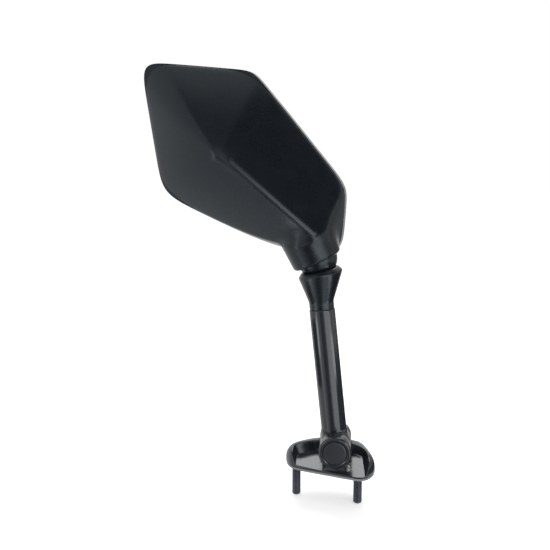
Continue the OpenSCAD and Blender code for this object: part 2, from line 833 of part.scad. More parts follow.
base_casting();
base_gasket();
stud(-1);  // stud_left
stud(1);  // stud_right
pivot_bolt();
pivot_cap();
disc_spring_front();
disc_spring_rear();
friction_washer(front_ear_back);  // friction_washer_front
friction_washer(tongue_back);  // friction_washer_rear
nut_washer();
pivot_nut();
arm();
boot();
ball_stud();
lock_nut();
lower_liner();
upper_liner();
housing();
socket_cup();
pressure_cup();
pressure_spring();
preload_ring();
glass_carrier();
carrier_screw(0);  // carrier_screw_1
carrier_screw(1);  // carrier_screw_2
carrier_screw(2);  // carrier_screw_3
carrier_screw(3);  // carrier_screw_4
glass_pad();
mirror_glass();
glass_seal();
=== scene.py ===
"""Dressed scene of a folding motorcycle mirror, in the frame of its CAD model.

The head's moulded shell, the rubber boot, the cast arm and the cast base are made as fine numpy
surfaces over their CAD solids; the other solids stay and get their finishes. Sizes are in
millimetres, degrees are in the XZ plane from +X towards +Z, and meshes are written in metres.
"""

import json
import logging
import math
from dataclasses import dataclass, field
from enum import Enum
from typing import Any

import bpy
import numpy as np
from bpy.types import Material, Mesh, Node, NodeSocket, NodeTree, Object, World
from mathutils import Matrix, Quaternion, Vector


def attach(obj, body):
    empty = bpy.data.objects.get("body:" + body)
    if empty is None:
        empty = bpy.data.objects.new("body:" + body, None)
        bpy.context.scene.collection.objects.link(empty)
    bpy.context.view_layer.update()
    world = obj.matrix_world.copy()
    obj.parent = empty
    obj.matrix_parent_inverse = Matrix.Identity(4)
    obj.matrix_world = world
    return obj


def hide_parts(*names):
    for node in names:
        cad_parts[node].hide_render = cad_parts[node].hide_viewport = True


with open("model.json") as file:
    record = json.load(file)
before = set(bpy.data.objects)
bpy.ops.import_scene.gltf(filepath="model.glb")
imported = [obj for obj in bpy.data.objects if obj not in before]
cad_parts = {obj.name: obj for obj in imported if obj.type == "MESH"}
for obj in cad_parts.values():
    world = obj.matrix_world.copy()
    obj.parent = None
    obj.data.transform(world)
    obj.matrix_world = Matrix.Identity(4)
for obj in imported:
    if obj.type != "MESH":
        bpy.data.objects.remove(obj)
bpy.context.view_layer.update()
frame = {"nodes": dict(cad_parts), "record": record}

Pair = tuple[float, float]
Triple = tuple[float, float, float]

MM = 0.001
SHARP_ANGLE = math.radians(38)
BACK = np.array([0.0, 1.0, 0.0])
WHITE = (1.0, 1.0, 1.0, 1.0)
# Facing range over which the clear coat fades, and the share of it left: painted shade that darkens outlines by
# taking their reflection away.
EDGE_SHADE_FACING = (0.58, 0.92)
EDGE_SHADE_COAT_LEFT = 0.05
log = logging.getLogger("mirror")


def table(*rows: Pair | float) -> Any:
    """Dataclass field that holds numbers or rows of numbers as an array."""
    return field(default_factory=lambda: np.array(rows))


def circle(sides: int) -> np.ndarray:
    """Angles of evenly spaced sides, once round."""
    return np.linspace(0, 2 * np.pi, sides, endpoint=False)


# Finishes


def cleared_tree(owner: Material | World) -> NodeTree:
    """Turns on the nodes of a material or a world and empties its tree.

    Args:
        owner: the material or the world.

    Returns:
        Its empty node tree.
    """
    owner.use_nodes = True
    owner.node_tree.nodes.clear()
    return owner.node_tree


def add_node(tree: NodeTree, kind: str, inputs: dict[str | int, Any], **settings: str) -> Node:
    """Adds a node whose inputs are set to values or linked to sockets.

    Args:
        tree: node tree that gets the node.
        kind: type of the node, without ShaderNode before it.
        inputs: value or socket for each input, by name or number.
        settings: choices of the node itself, such as its operation.

    Returns:
        The node.
    """
    made = tree.nodes.new(f"ShaderNode{kind}")
    for name, value in settings.items():
        setattr(made, name, value)
    for key, value in inputs.items():
        if isinstance(value, NodeSocket):
            tree.links.new(value, made.inputs[key])
        else:
            made.inputs[key].default_value = value
    return made


class Grain(Enum):
    """Small relief of a finish."""

    LEATHER = "fine moulded grain of closed cells"
    ORANGE_PEEL = "slow waves of sprayed paint"
    DUSTY = "fine even tooth of moulded rubber"
    BRUSHED = "fine lines left by turning"
    PORES = "open cells of foam"


@dataclass(frozen=True)
class Finish:
    """A surface finish and the shader that shows it.

    Attributes:
        name: name of the material.
        dark: darker of its two colours, linear RGB.
        light: lighter of its two colours, linear RGB.
        rough: lowest and highest roughness over the surface.
        grain: kind of small relief.
        grain_mm: size of one grain.
        relief_mm: height of the relief.
        mottle_mm: size of the patches that vary the colour and the gloss.
        metallic: 1 for bare metal, 0 for paint, plastic and rubber.
        coat: weight of a clear coat, faded at the outline as painted edge shade.
        coat_rough: roughness of the clear coat.
        specular: strength of the plain reflection.
        sheen: tint of the plain reflection.
    """

    name: str
    dark: Triple
    light: Triple
    rough: Pair
    grain: Grain
    grain_mm: float
    relief_mm: float
    mottle_mm: float = 12.0
    metallic: float = 0.0
    coat: float = 0.0
    coat_rough: float = 0.05
    specular: float = 0.5
    sheen: Triple = (0.78, 0.92, 1.0)

    def material(self) -> Material:
        """Material of this finish, made once and then found by its name.

        Returns:
            The node-based material.
        """
        known = bpy.data.materials.get(f"{self.name}_finish")
        return known if known else self._made()

    def _made(self) -> Material:
        """New material: two colours and two roughness levels mixed by slow noise, over a fine relief.

        Returns:
            The node-based material.
        """
        made = bpy.data.materials.new(f"{self.name}_finish")
        tree = cleared_tree(made)
        point = add_node(tree, "TexCoord", {}).outputs["Object"]
        patches = self._noise(tree, point, self.mottle_mm, detail=4.0)
        colours = {"Factor": patches, "A": (*self.dark, 1.0), "B": (*self.light, 1.0)}
        tint = add_node(tree, "Mix", colours, data_type="RGBA")
        smears = self._noise(tree, point, 0.6 * self.mottle_mm, detail=6.0)
        low, high = self.rough
        gloss = {"Value": smears, "From Min": 0.3, "From Max": 0.7, "To Min": low, "To Max": high}
        relief = {"Strength": 1.0, "Distance": self.relief_mm * MM, "Height": self._relief(tree, point)}
        look = {
            "Base Color": tint.outputs["Result"],
            "Roughness": add_node(tree, "MapRange", gloss).outputs["Result"],
            "Normal": add_node(tree, "Bump", relief).outputs["Normal"],
            "Metallic": self.metallic,
            "Coat Roughness": self.coat_rough,
            "Specular IOR Level": self.specular,
            "Specular Tint": (*self.sheen, 1.0),
        }
        if self.coat:
            # The coat weight carries painted edge shade: it drops where the surface turns away at its outline.
            look["Coat Weight"] = self._coat_with_painted_edge_shade(tree)
        shader = add_node(tree, "BsdfPrincipled", look)
        add_node(tree, "OutputMaterial", {"Surface": shader.outputs["BSDF"]})
        return made

    def _coat_with_painted_edge_shade(self, tree: NodeTree) -> NodeSocket:
        """Weight of the clear coat, faded to a small share where the surface turns away at its outline: painted
        shade that darkens the outlines by taking their reflection away.

        Args:
            tree: node tree of the material.

        Returns:
            The socket with the weight.
        """
        facing = add_node(tree, "LayerWeight", {}).outputs["Facing"]
        levels = {"To Min": self.coat, "To Max": EDGE_SHADE_COAT_LEFT * self.coat}
        edge_shade = {"Value": facing, "From Min": EDGE_SHADE_FACING[0], "From Max": EDGE_SHADE_FACING[1], **levels}
        return add_node(tree, "MapRange", edge_shade).outputs["Result"]

    def _noise(self, tree: NodeTree, point: NodeSocket, size_mm: float, detail: float) -> NodeSocket:
        """Noise of a given patch size.

        Args:
            tree: node tree of the material.
            point: socket with the point on the object.
            size_mm: size of a patch.
            detail: number of finer layers.

        Returns:
            The socket with the noise, from 0 to 1.
        """
        scale = 1.0 / (size_mm * MM)
        return add_node(tree, "TexNoise", {"Scale": scale, "Detail": detail, "Vector": point}).outputs["Fac"]

    def _relief(self, tree: NodeTree, point: NodeSocket) -> NodeSocket:
        """Height of the small relief.

        Args:
            tree: node tree of the material.
            point: socket with the point on the object.

        Returns:
            The socket with the height, from 0 to about 1.
        """
        if self.grain in (Grain.LEATHER, Grain.PORES):
            kind = "SMOOTH_F1" if self.grain is Grain.LEATHER else "F1"
            cells = {"Scale": 1.0 / (self.grain_mm * MM), "Vector": point}
            return add_node(tree, "TexVoronoi", cells, feature=kind).outputs["Distance"]
        if self.grain is Grain.BRUSHED:
            lines = add_node(tree, "Mapping", {"Scale": (1.0, 9.0, 9.0), "Vector": point}).outputs["Vector"]
            return self._noise(tree, lines, 4 * self.grain_mm, detail=3.0)
        return self._noise(tree, point, self.grain_mm, detail=1.0 if self.grain is Grain.ORANGE_PEEL else 3.0)


FINISHES: dict[str, Finish] = {
    "shell_plastic": Finish(
        "shell_plastic", (0.0045, 0.0055, 0.0080), (0.0070, 0.0085, 0.0115), (0.25, 0.31),
        Grain.LEATHER, grain_mm=0.55, relief_mm=0.012, mottle_mm=14.0, specular=0.30,
    ),
    "gloss_metal": Finish(
        "gloss_paint", (0.0135, 0.0148, 0.0190), (0.0175, 0.0190, 0.0240), (0.22, 0.30),
        Grain.ORANGE_PEEL, grain_mm=3.5, relief_mm=0.004, coat=0.64, coat_rough=0.15, specular=0.1,
    ),
    "cap_plastic": Finish(
        "cap_plastic", (0.0240, 0.0255, 0.0300), (0.0300, 0.0320, 0.0370), (0.20, 0.27),
        Grain.DUSTY, grain_mm=0.5, relief_mm=0.003, specular=0.4,
    ),
    "boot_rubber": Finish(
        "boot_rubber", (0.0050, 0.0058, 0.0078), (0.0075, 0.0086, 0.0110), (0.24, 0.32),
        Grain.DUSTY, grain_mm=0.45, relief_mm=0.01, mottle_mm=8.0, specular=0.34,
    ),
    "gasket_rubber": Finish(
        "gasket_rubber", (0.150, 0.150, 0.155), (0.220, 0.220, 0.228), (0.55, 0.70),
        Grain.DUSTY, grain_mm=0.5, relief_mm=0.02, mottle_mm=7.0,
    ),
    "dark_steel": Finish(
        "dark_steel", (0.110, 0.110, 0.135), (0.170, 0.170, 0.205), (0.30, 0.45),
        Grain.BRUSHED, grain_mm=0.25, relief_mm=0.004, mottle_mm=3.0, metallic=1.0,
    ),
    "liner_plastic": Finish(
        "liner_plastic", (0.060, 0.062, 0.066), (0.080, 0.083, 0.088), (0.40, 0.50),
        Grain.DUSTY, grain_mm=0.4, relief_mm=0.006, mottle_mm=5.0,
    ),
    "pad_foam": Finish(
        "pad_foam", (0.045, 0.046, 0.050), (0.060, 0.061, 0.066), (0.80, 0.90),
        Grain.PORES, grain_mm=0.5, relief_mm=0.10, mottle_mm=6.0,
    ),
    "silvered_glass": Finish(
        "silvered_glass", (0.70, 0.73, 0.76), (0.74, 0.765, 0.79), (0.015, 0.03),
        Grain.ORANGE_PEEL, grain_mm=60.0, relief_mm=0.002, mottle_mm=60.0, metallic=1.0,
    ),
}


# Surfaces


def new_object(name: str, points: np.ndarray, faces: list[list[int]]) -> Object:
    """Makes an object at the origin with a mesh of its own.

    Args:
        name: name of the object and its mesh.
        points: vertices in metres.
        faces: numbers of each face's vertices.

    Returns:
        The linked object.
    """
    mesh = bpy.data.meshes.new(name)
    mesh.from_pydata(points.tolist(), [], faces)
    mesh.update()
    made = bpy.data.objects.new(name, mesh)
    bpy.context.collection.objects.link(made)
    return made


def points_of(mesh: Mesh) -> np.ndarray:
    """Vertices of a mesh in metres.

    Args:
        mesh: the mesh.

    Returns:
        Their places, shape (vertices, 3).
    """
    places = np.empty(len(mesh.vertices) * 3)
    mesh.vertices.foreach_get("co", places)
    return places.reshape(-1, 3)


def corners_of(mesh: Mesh) -> np.ndarray:
    """Vertex numbers of a mesh's face corners.

    Args:
        mesh: the mesh.

    Returns:
        The number at each corner, face after face.
    """
    numbers = np.empty(len(mesh.loops), int)
    mesh.loops.foreach_get("vertex_index", numbers)
    return numbers


@dataclass
class Surface:
    """Closed surface: points in millimetres and blocks of faces between them."""

    points: np.ndarray
    faces: list[np.ndarray]

    @classmethod
    def loft(cls, rings: np.ndarray, looped: bool = False) -> "Surface":
        """Quads between neighbouring rings, p[i, j] to p[i + 1, j + 1], closed around j.

        Args:
            rings: points, shape (rings, sides, 3).
            looped: True where the last ring joins the first; otherwise a fan closes each end.

        Returns:
            The closed surface, facing outwards.
        """
        rows, sides = rings.shape[:2]
        index = np.arange(rows * sides).reshape(rows, sides)
        low = index if looped else index[:-1]
        high = np.roll(index, -1, axis=0) if looped else index[1:]
        quads = np.stack([low, np.roll(low, -1, 1), np.roll(high, -1, 1), high], -1).reshape(-1, 4)
        points, faces = rings.reshape(-1, 3), [quads]
        if not looped:
            points = np.vstack([points, rings[0].mean(0), rings[-1].mean(0)])
            tip = np.full(sides, rows * sides)
            faces.append(np.stack([tip, np.roll(index[0], -1), index[0]], -1))
            faces.append(np.stack([tip + 1, index[-1], np.roll(index[-1], -1)], -1))
        return cls(points, faces).outward()

    def outward(self) -> "Surface":
        """The same surface with its faces turned outwards, told by the sign of its volume sum(a.(b x c))/6.

        Returns:
            The surface, facing outwards.
        """
        fans = [self.points[f[:, [0, k, k + 1]]] for f in self.faces for k in range(1, f.shape[1] - 1)]
        corners = np.concatenate(fans)
        volume = np.einsum("ij,ij->", corners[:, 0], np.cross(corners[:, 1], corners[:, 2]))
        return self if volume > 0 else Surface(self.points, [f[:, ::-1] for f in self.faces])

    def joined(self, other: "Surface") -> "Surface":
        """This surface and another as one set of points and faces."""
        moved = [f + len(self.points) for f in other.faces]
        return Surface(np.vstack([self.points, other.points]), self.faces + moved)

    def mesh_object(self, name: str) -> Object:
        """Object at the origin with this surface as its mesh, in metres."""
        return new_object(name, self.points * MM, [f for block in self.faces for f in block.tolist()])


@dataclass(frozen=True)
class Leaning:
    """Axis in the XZ plane: a point on it and its lean from Z to the left, in degrees."""

    origin: np.ndarray
    lean: float

    @property
    def across(self) -> np.ndarray:
        """Unit vector across the axis, to the right."""
        return np.array([math.cos(math.radians(self.lean)), 0.0, math.sin(math.radians(self.lean))])

    @property
    def along(self) -> np.ndarray:
        """Unit vector along the axis, upwards."""
        return np.array([-math.sin(math.radians(self.lean)), 0.0, math.cos(math.radians(self.lean))])

    def at(self, s: float) -> np.ndarray:
        """Point at distance s along the axis."""
        return self.origin + s * self.along

    def local(self, points: np.ndarray) -> np.ndarray:
        """Coordinates (across, back, along) of points in this axis's frame."""
        rel = points - self.origin
        return np.stack([rel @ self.across, rel[..., 1], rel @ self.along], -1)

    def turned(self, profile: np.ndarray, sides: int = 128) -> Surface:
        """Profile turned about the axis: p = origin + r (cos u across + sin u back) + t along.

        Args:
            profile: rows of radius r and height t.
            sides: number of steps round the axis.

        Returns:
            The closed surface.
        """
        return Surface.loft(self.rings(profile[:, 0, None], profile[:, 1], sides))

    def rings(self, r: np.ndarray, t: np.ndarray, sides: int) -> np.ndarray:
        """Rings round the axis: p = origin + r (cos u across + sin u back) + t along.

        Args:
            r: radius of each ring, shape (rings, 1), or at each of its sides, shape (rings, sides).
            t: height of each ring.
            sides: number of steps round the axis.

        Returns:
            The points, shape (rings, sides, 3).
        """
        u = circle(sides)[:, None]
        round_axis = np.cos(u) * self.across + np.sin(u) * BACK
        return self.origin + r[..., None] * round_axis + t[:, None, None] * self.along


def turned_about_y(x: float, z: float, profile: np.ndarray, sides: int, looped: bool = False) -> Surface:
    """Profile turned about a line along Y: p = (x + r cos u, depth, z + r sin u).

    Args:
        x: place of the line across.
        z: height of the line.
        profile: rows of radius r and depth.
        sides: number of steps round the line.
        looped: True where the profile is a closed loop beside the line.

    Returns:
        The closed surface.
    """
    u = circle(sides)
    r, y = profile[:, :1], np.repeat(profile[:, 1:], sides, 1)
    return Surface.loft(np.stack([x + r * np.cos(u), y, z + r * np.sin(u)], -1), looped)


def eased(corners: list[Pair], cuts: list[float], steps: int = 7, looped: bool = False) -> np.ndarray:
    """Profile whose corners are rounded by the curve (1-s)^2 A + 2 s (1-s) P + s^2 B.

    Args:
        corners: rows of radius and height.
        cuts: distance from each corner P to the points A and B where its curve ends.
        steps: points on each curve.
        looped: True for a closed profile.

    Returns:
        The profile's points, rows of radius and height.
    """
    p = np.array(corners, float)
    before, after = np.roll(p, 1, 0) - p, np.roll(p, -1, 0) - p
    if not looped:
        before[0], after[-1] = after[0], before[-1]
    cut = np.array(cuts, float)[:, None]
    a = p + cut * before / np.linalg.norm(before, axis=1, keepdims=True)
    b = p + cut * after / np.linalg.norm(after, axis=1, keepdims=True)
    s = np.linspace(0, 1, steps)[None, :, None]
    points = ((1 - s) ** 2 * a[:, None] + 2 * s * (1 - s) * p[:, None] + s**2 * b[:, None]).reshape(-1, 2)
    keep = np.ones(len(points), bool)
    keep[1:] = np.linalg.norm(np.diff(points, axis=0), axis=1) > 1e-6
    return points[keep]


def gauge(v: np.ndarray, faces: np.ndarray, power: float | np.ndarray, shrink: float = 0.0) -> np.ndarray:
    """Size of plan points against an outline: (sum of max(0, v.n / (d - shrink))^power)^(1/power).

    Args:
        v: plan points from the middle, shape (..., 2).
        faces: rows of direction n in degrees and distance d.
        power: crispness of the corners, one value or one for each point.
        shrink: distance by which the outline is drawn in.

    Returns:
        1 on the outline, 0 at the middle.
    """
    turn = np.radians(faces[:, 0])
    share = np.maximum(v @ np.stack([np.cos(turn), np.sin(turn)]) / (faces[:, 1] - shrink), 0)
    power = np.asarray(power, float)
    return (share ** power[..., None]).sum(-1) ** (1 / power)


def direction(turns: np.ndarray) -> np.ndarray:
    """Unit vectors of directions in degrees."""
    return np.stack([np.cos(np.radians(turns)), np.sin(np.radians(turns))], -1)


def corner_turn(f: np.ndarray, g: np.ndarray) -> float:
    """Direction of the corner where two faces v.n = d meet.

    Args:
        f: direction in degrees and distance of the first face.
        g: direction in degrees and distance of the second face.

    Returns:
        The corner's direction in degrees.
    """
    cf, cg = math.cos(math.radians(f[0])), math.cos(math.radians(g[0]))
    sf, sg = math.sin(math.radians(f[0])), math.sin(math.radians(g[0]))
    return math.degrees(math.atan2(f[1] * cg - g[1] * cf, g[1] * sf - f[1] * sg)) + 180


def soft_min(a: np.ndarray, b: np.ndarray, soft: float) -> np.ndarray:
    """Smooth lower value: (a + b - sqrt((a - b)^2 + soft^2)) / 2."""
    return (a + b - np.sqrt((a - b) ** 2 + soft**2)) / 2


def soft_max(a: np.ndarray, b: np.ndarray, soft: np.ndarray) -> np.ndarray:
    """Smooth higher value: (a + b + sqrt((a - b)^2 + soft^2)) / 2."""
    return (a + b + np.sqrt((a - b) ** 2 + soft**2)) / 2


def directions_near(marks: list[float], step: float, near: list[float]) -> np.ndarray:
    """Directions all round, closer together beside some of them.

    Args:
        marks: directions in degrees that are kept.
        step: step between the plain directions.
        near: steps to both sides of each mark.

    Returns:
        The directions in degrees, in order.
    """
    beside = [m + sign * n for m in marks for n in near for sign in (-1, 1)]
    turns = np.unique(np.round(np.mod(np.concatenate([np.arange(0, 360, step), marks, beside]), 360), 3))
    return turns[np.concatenate([[True], np.diff(turns) > 0.08])]


# Pieces


class Cut(Enum):
    """What a form does to the object that it meets."""

    JOIN = "UNION"
    REMOVE = "DIFFERENCE"


def cut_by(base: Object, other: Surface, cut: Cut) -> None:
    """Joins another form to an object or cuts it out.

    Args:
        base: object whose mesh is changed.
        other: form that is joined or cut out.
        cut: which of the two.
    """
    tool = other.mesh_object("tool")
    step = base.modifiers.new("step", "BOOLEAN")
    step.operation, step.object, step.solver = cut.value, tool, "EXACT"
    graph = bpy.context.evaluated_depsgraph_get()
    mesh = bpy.data.meshes.new_from_object(base.evaluated_get(graph))
    base.modifiers.clear()
    base.data = mesh
    bpy.data.objects.remove(tool)


def merged(name: str, *parts: Object) -> Object:
    """One object with the meshes of several, which are removed.

    Args:
        name: name of the new object.
        parts: objects whose meshes are put together.

    Returns:
        The new object at the origin.
    """
    points, faces, count = [], [], 0
    for part in parts:
        starts = np.empty(len(part.data.polygons), int)
        part.data.polygons.foreach_get("loop_start", starts)
        faces += [face.tolist() for face in np.split(count + corners_of(part.data), starts[1:])]
        points.append(points_of(part.data))
        count += len(points[-1])
        bpy.data.objects.remove(part)
    return new_object(name, np.concatenate(points), faces)


def place(made: Object, body: str, slot: str, *replaced: str) -> None:
    """Dresses a finished piece, sets it on its body and hides the solids that it stands for.

    Args:
        made: object with its mesh in place.
        body: body that carries it.
        slot: material slot of the record.
        replaced: nodes that it stands for.
    """
    made.data.materials.clear()
    made.data.materials.append(FINISHES[slot].material())
    made.data.shade_smooth()
    made.data.set_sharp_from_angle(angle=SHARP_ANGLE)
    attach(made, body)
    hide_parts(*replaced)
    log.info("%s: %d faces on %s, for %s", made.name, len(made.data.polygons), body, ", ".join(replaced))


def smooth_copy(node: str, body: str, slot: str) -> None:
    """Puts a copy with merged corners in the place of a solid, so that its round faces shade smoothly.

    Args:
        node: node that is copied.
        body: body that carries it.
        slot: material slot of the record.
    """
    source = frame["nodes"][node].data
    points, place_of = np.unique(np.round(points_of(source) / MM, 4), axis=0, return_inverse=True)
    triangles = place_of.reshape(-1)[corners_of(source).reshape(-1, 3)]
    whole = (np.diff(np.sort(triangles, 1), axis=1) > 0).all(1)
    place(Surface(points, [triangles[whole]]).mesh_object(f"{node}_smooth"), body, slot, node)


@dataclass
class MountingBase:
    """Cast base with its two hinge ears, the gasket and the two studs.

    Plan coordinates are in the casting's own frame, turned by skew from X and Y.
    """

    skew: float = -12.0
    middle: Pair = (2.0, 2.0)
    gasket_t: float = 1.5
    floor_z: float = 4.6
    wall_z: float = 16.0
    edge_h: float = 0.6
    outline_power: float = 12.0
    dome_power: float = 3.3
    pocket_middle: Pair = (3.0, -3.4)
    pocket_power: float = 28.0
    pocket_soft: float = 0.55
    fillet: float = 2.4
    rim_soft: float = 1.5
    floor_fall: float = 0.24
    floor_lift: float = 1.0
    foot_side: float = 6.4
    foot_side_flare: float = 3.2
    foot_front: float = -12.1
    foot_front_flare: float = 2.4
    foot_back: float = -4.4
    foot_back_step: float = 0.25
    foot_h: float = 3.3
    stud_spacing: float = 44.0
    stud_d: float = 6.0
    stud_drop: float = 22.4
    root_w: float = 1.0
    root_z: float = 0.3
    root_cover: float = 0.6
    thread_pitch: float = 1.0
    thread_depth: float = 0.61
    thread_slope: float = 1.35
    thread_flat: float = 0.15
    fold_x: float = 5.7
    fold_z: float = 16.25
    barrel_r: float = 11.2
    hinge_play: float = 0.45
    ear_front: float = -14.6
    front_ear_w: float = 10.6
    rear_ear_front: float = 15.0
    rear_ear_w: float = 5.4
    spot_w: float = 0.8
    spot_end: float = 50.0
    cap_d: float = 15.8
    cap_sink: float = 0.3
    cap_t: float = 2.2
    cap_play: float = 0.02
    recess_depth: float = 7.7
    pivot_d: float = 8.0
    pivot_play: float = 0.1
    faces: np.ndarray = table(
        (-136.6, 26.8), (-95.5, 15.4), (-36.0, 32.1), (2.0, 33.2),
        (30.0, 29.0), (95.0, 23.0), (134.0, 27.1), (183.0, 33.0),
    )
    pocket_floor: np.ndarray = table(
        (-90.0, 40.0), (22.0, 22.9), (73.6, 16.1), (95.0, 12.0), (120.7, 15.5), (185.4, 24.7)
    )
    pocket_lean: np.ndarray = table(0.0, 4.0, 2.5, 1.5, 2.5, 3.5)

    def placed(self, plan: np.ndarray, z: np.ndarray | float) -> np.ndarray:
        """Points of the shared frame from plan points of the casting and their heights.

        Args:
            plan: plan points, shape (..., 2).
            z: height of each of them.

        Returns:
            The points, shape (..., 3).
        """
        a = math.radians(self.skew)
        x = plan[..., 0] * math.cos(a) - plan[..., 1] * math.sin(a)
        y = plan[..., 0] * math.sin(a) + plan[..., 1] * math.cos(a)
        return np.stack([x, y, np.broadcast_to(z, x.shape)], -1)

    def top_height(self, plan: np.ndarray) -> np.ndarray:
        """Height of the casting's top: the lower of its dome and its pocket, both rounded where they meet.

        The dome is edge + (wall - edge) (1 - g^n)^(1/n). The pocket is its floor, rising by the line of its
        leaning wall beyond the floor's outline, and falls a little to the front. A foot under the front ear
        flares into the floor.

        Args:
            plan: plan points of the casting.

        Returns:
            Their heights.
        """
        edge_z = self.gasket_t + self.edge_h
        g = np.minimum(gauge(plan - np.array(self.middle), self.faces, self.outline_power), 1)
        dome = edge_z + (self.wall_z - edge_z) * (1 - g**self.dome_power) ** (1 / self.dome_power)
        rel = plan - np.array(self.pocket_middle)
        r = np.linalg.norm(rel, axis=-1) + 1e-9
        low, high = self.pocket_reach(rel / r[..., None])
        rise = self.fillet + (r - low) / np.maximum(high - low, 1) * (self.wall_z + 1 - self.floor_z - self.fillet)
        fall = self.floor_fall * (plan[..., 1] - self.pocket_middle[1]) + self.floor_lift
        pocket = self.floor_z + soft_max(rise, fall, self.pocket_soft * self.fillet)
        height = soft_min(dome, pocket, self.rim_soft)
        world = self.placed(plan, 0.0)
        beside = np.clip((np.abs(world[..., 0] - self.fold_x) - self.foot_side) / self.foot_side_flare, 0, 1)
        ahead = np.clip((self.foot_front - world[..., 1]) / self.foot_front_flare, 0, 1)
        behind = np.clip((world[..., 1] - self.foot_back) / self.foot_back_step, 0, 1)
        away = np.minimum(np.hypot(beside, ahead), 1)
        foot = self.foot_h * (1 - np.sqrt(1 - (1 - away) ** 2)) * (1 - behind)
        return height + foot

    def pocket_reach(self, toward: np.ndarray) -> tuple[np.ndarray, np.ndarray]:
        """Distances from the pocket's middle to its floor's edge and to its rim, along unit vectors.

        Args:
            toward: unit vectors in plan, shape (..., 2).

        Returns:
            Both distances for each vector.
        """
        low = 1 / gauge(toward, self.pocket_floor, self.pocket_power)
        top = np.stack([self.pocket_floor[:, 0], self.pocket_floor[:, 1] + self.pocket_lean], -1)
        return low, 1 / gauge(toward, top, self.pocket_power)

    def edge_reach(self, toward: np.ndarray) -> np.ndarray:
        """Distances from the pocket's middle to the casting's edge, by halving the interval 40 times.

        Args:
            toward: unit vectors in plan, shape (directions, 2).

        Returns:
            The distance for each vector.
        """
        low, high = np.zeros(len(toward)), np.full(len(toward), 60.0)
        offset = np.array(self.pocket_middle) - np.array(self.middle)
        for _ in range(40):
            half = (low + high) / 2
            inside = gauge(offset + half[:, None] * toward, self.faces, self.outline_power) < 1
            low, high = np.where(inside, half, low), np.where(inside, high, half)
        return low

    def gasket(self) -> Surface:
        """Upright pad on the casting's outline, drawn in a little, with an eased lower edge.

        Returns:
            The pad's surface.
        """
        toward = direction(np.arange(0, 360, 1.5))
        edge = toward / gauge(toward, self.faces, self.outline_power)[:, None]
        top = self.gasket_t
        rows = [(0.02, 0.0), (0.972, 0.0), (0.984, 0.2), (0.986, 0.7), (0.986, top), (0.02, top)]
        return Surface.loft(np.stack([self.placed(np.array(self.middle) + k * edge, z) for k, z in rows]))

    def casting(self) -> Object:
        """Casting with its pocket, its leaning walls, its rounded rim and the hinge's room.

        Its top is a grid of rings: up to k = 1 over the floor, up to 2 over the wall, up to 3 to the edge.

        Returns:
            The object, without its ears.
        """
        toward = direction(np.arange(0, 360, 1.0))
        edge = 0.999 * self.edge_reach(toward)
        low, high = self.pocket_reach(toward)
        foot = np.minimum(low - 3.0, 0.80 * edge)
        rim = np.minimum(high + 1.2, 0.93 * edge)
        crest = 2 + np.sin(np.linspace(0, np.pi / 2, 26))
        k = np.concatenate([np.linspace(0.03, 1, 12)[:-1], 1 + np.linspace(0, 1, 30)[:-1], crest])[:, None]
        beyond = np.where(k <= 2, foot + (k - 1) * (rim - foot), rim + (k - 2) * (edge - rim))
        reach = np.where(k <= 1, k * foot, beyond)
        plan = np.array(self.pocket_middle) + reach[..., None] * toward
        outer = plan[-1] - np.array(self.middle)
        skirt = [
            self.placed(np.array(self.middle) + s * outer, self.gasket_t + share * self.edge_h)
            for s, share in ((1.0, 0.75), (0.996, 0.45), (0.988, 0.2), (0.98, 0.0), (0.5, 0.0), (0.02, 0.0))
        ]
        rings = np.concatenate([self.placed(plan, self.top_height(plan)), np.stack(skirt)])
        made = Surface.loft(rings).mesh_object("casting_body")
        room = (self.barrel_r + self.hinge_play, self.ear_front + self.front_ear_w, self.rear_ear_front)
        spot_face = (self.pivot_d + self.spot_w, self.rear_ear_front + self.rear_ear_w, self.spot_end)
        for bar in (room, spot_face):
            cut_by(made, self.on_fold(*bar), Cut.REMOVE)
        return made

    def on_fold(self, r: float, y1: float, y2: float) -> Surface:
        """Plain round bar on the fold axis between two depths."""
        return self.fold_turned(np.array([[0.01, y1], [r, y1], [r, y2], [0.01, y2]]))

    def fold_turned(self, profile: np.ndarray, looped: bool = False) -> Surface:
        """Profile of radius and depth turned about the fold axis."""
        return turned_about_y(self.fold_x, self.fold_z, profile, 160, looped)

    def front_ear(self) -> Surface:
        """Front ear: a ring with a crowned front edge round the cap's recess, bored for the bolt.

        Returns:
            The ear's surface.
        """
        y1, y2, r = self.ear_front, self.ear_front + self.front_ear_w, self.barrel_r
        seat = self.cap_d / 2 + self.cap_play
        recess = y1 + self.recess_depth
        bore = self.pivot_d / 2 + self.pivot_play
        corners = [
            (seat, y1 + 1.1), (seat + 1.0, y1), (r - 1.05, y1), (r, y1 + 1.15),
            (r, y2), (bore, y2), (bore, recess), (seat, recess),
        ]
        cuts = [0.2, 0.15, 0.6, 0.7, 0.3, 0.2, 0.1, 0.1]
        return self.fold_turned(eased(corners, cuts, looped=True), looped=True)

    def rear_ear(self) -> Surface:
        """Rear ear: a plain ring with eased edges.

        Returns:
            The ear's surface.
        """
        y1, y2, r = self.rear_ear_front, self.rear_ear_front + self.rear_ear_w, self.barrel_r
        bore = self.pivot_d / 2 + self.pivot_play
        corners = [(bore, y1), (r, y1), (r, y2), (bore, y2)]
        return self.fold_turned(eased(corners, [0.1, 0.3, 0.7, 0.2], looped=True), looped=True)

    def cap(self) -> Surface:
        """Round plug: a flat disc with an eased edge.

        Returns:
            The plug's surface.
        """
        y, r = self.ear_front + self.cap_sink, self.cap_d / 2
        corners = [(0.01, y), (r, y), (r, y + self.cap_t), (0.01, y + self.cap_t)]
        return self.fold_turned(eased(corners, [0, 0.9, 0.1, 0]))

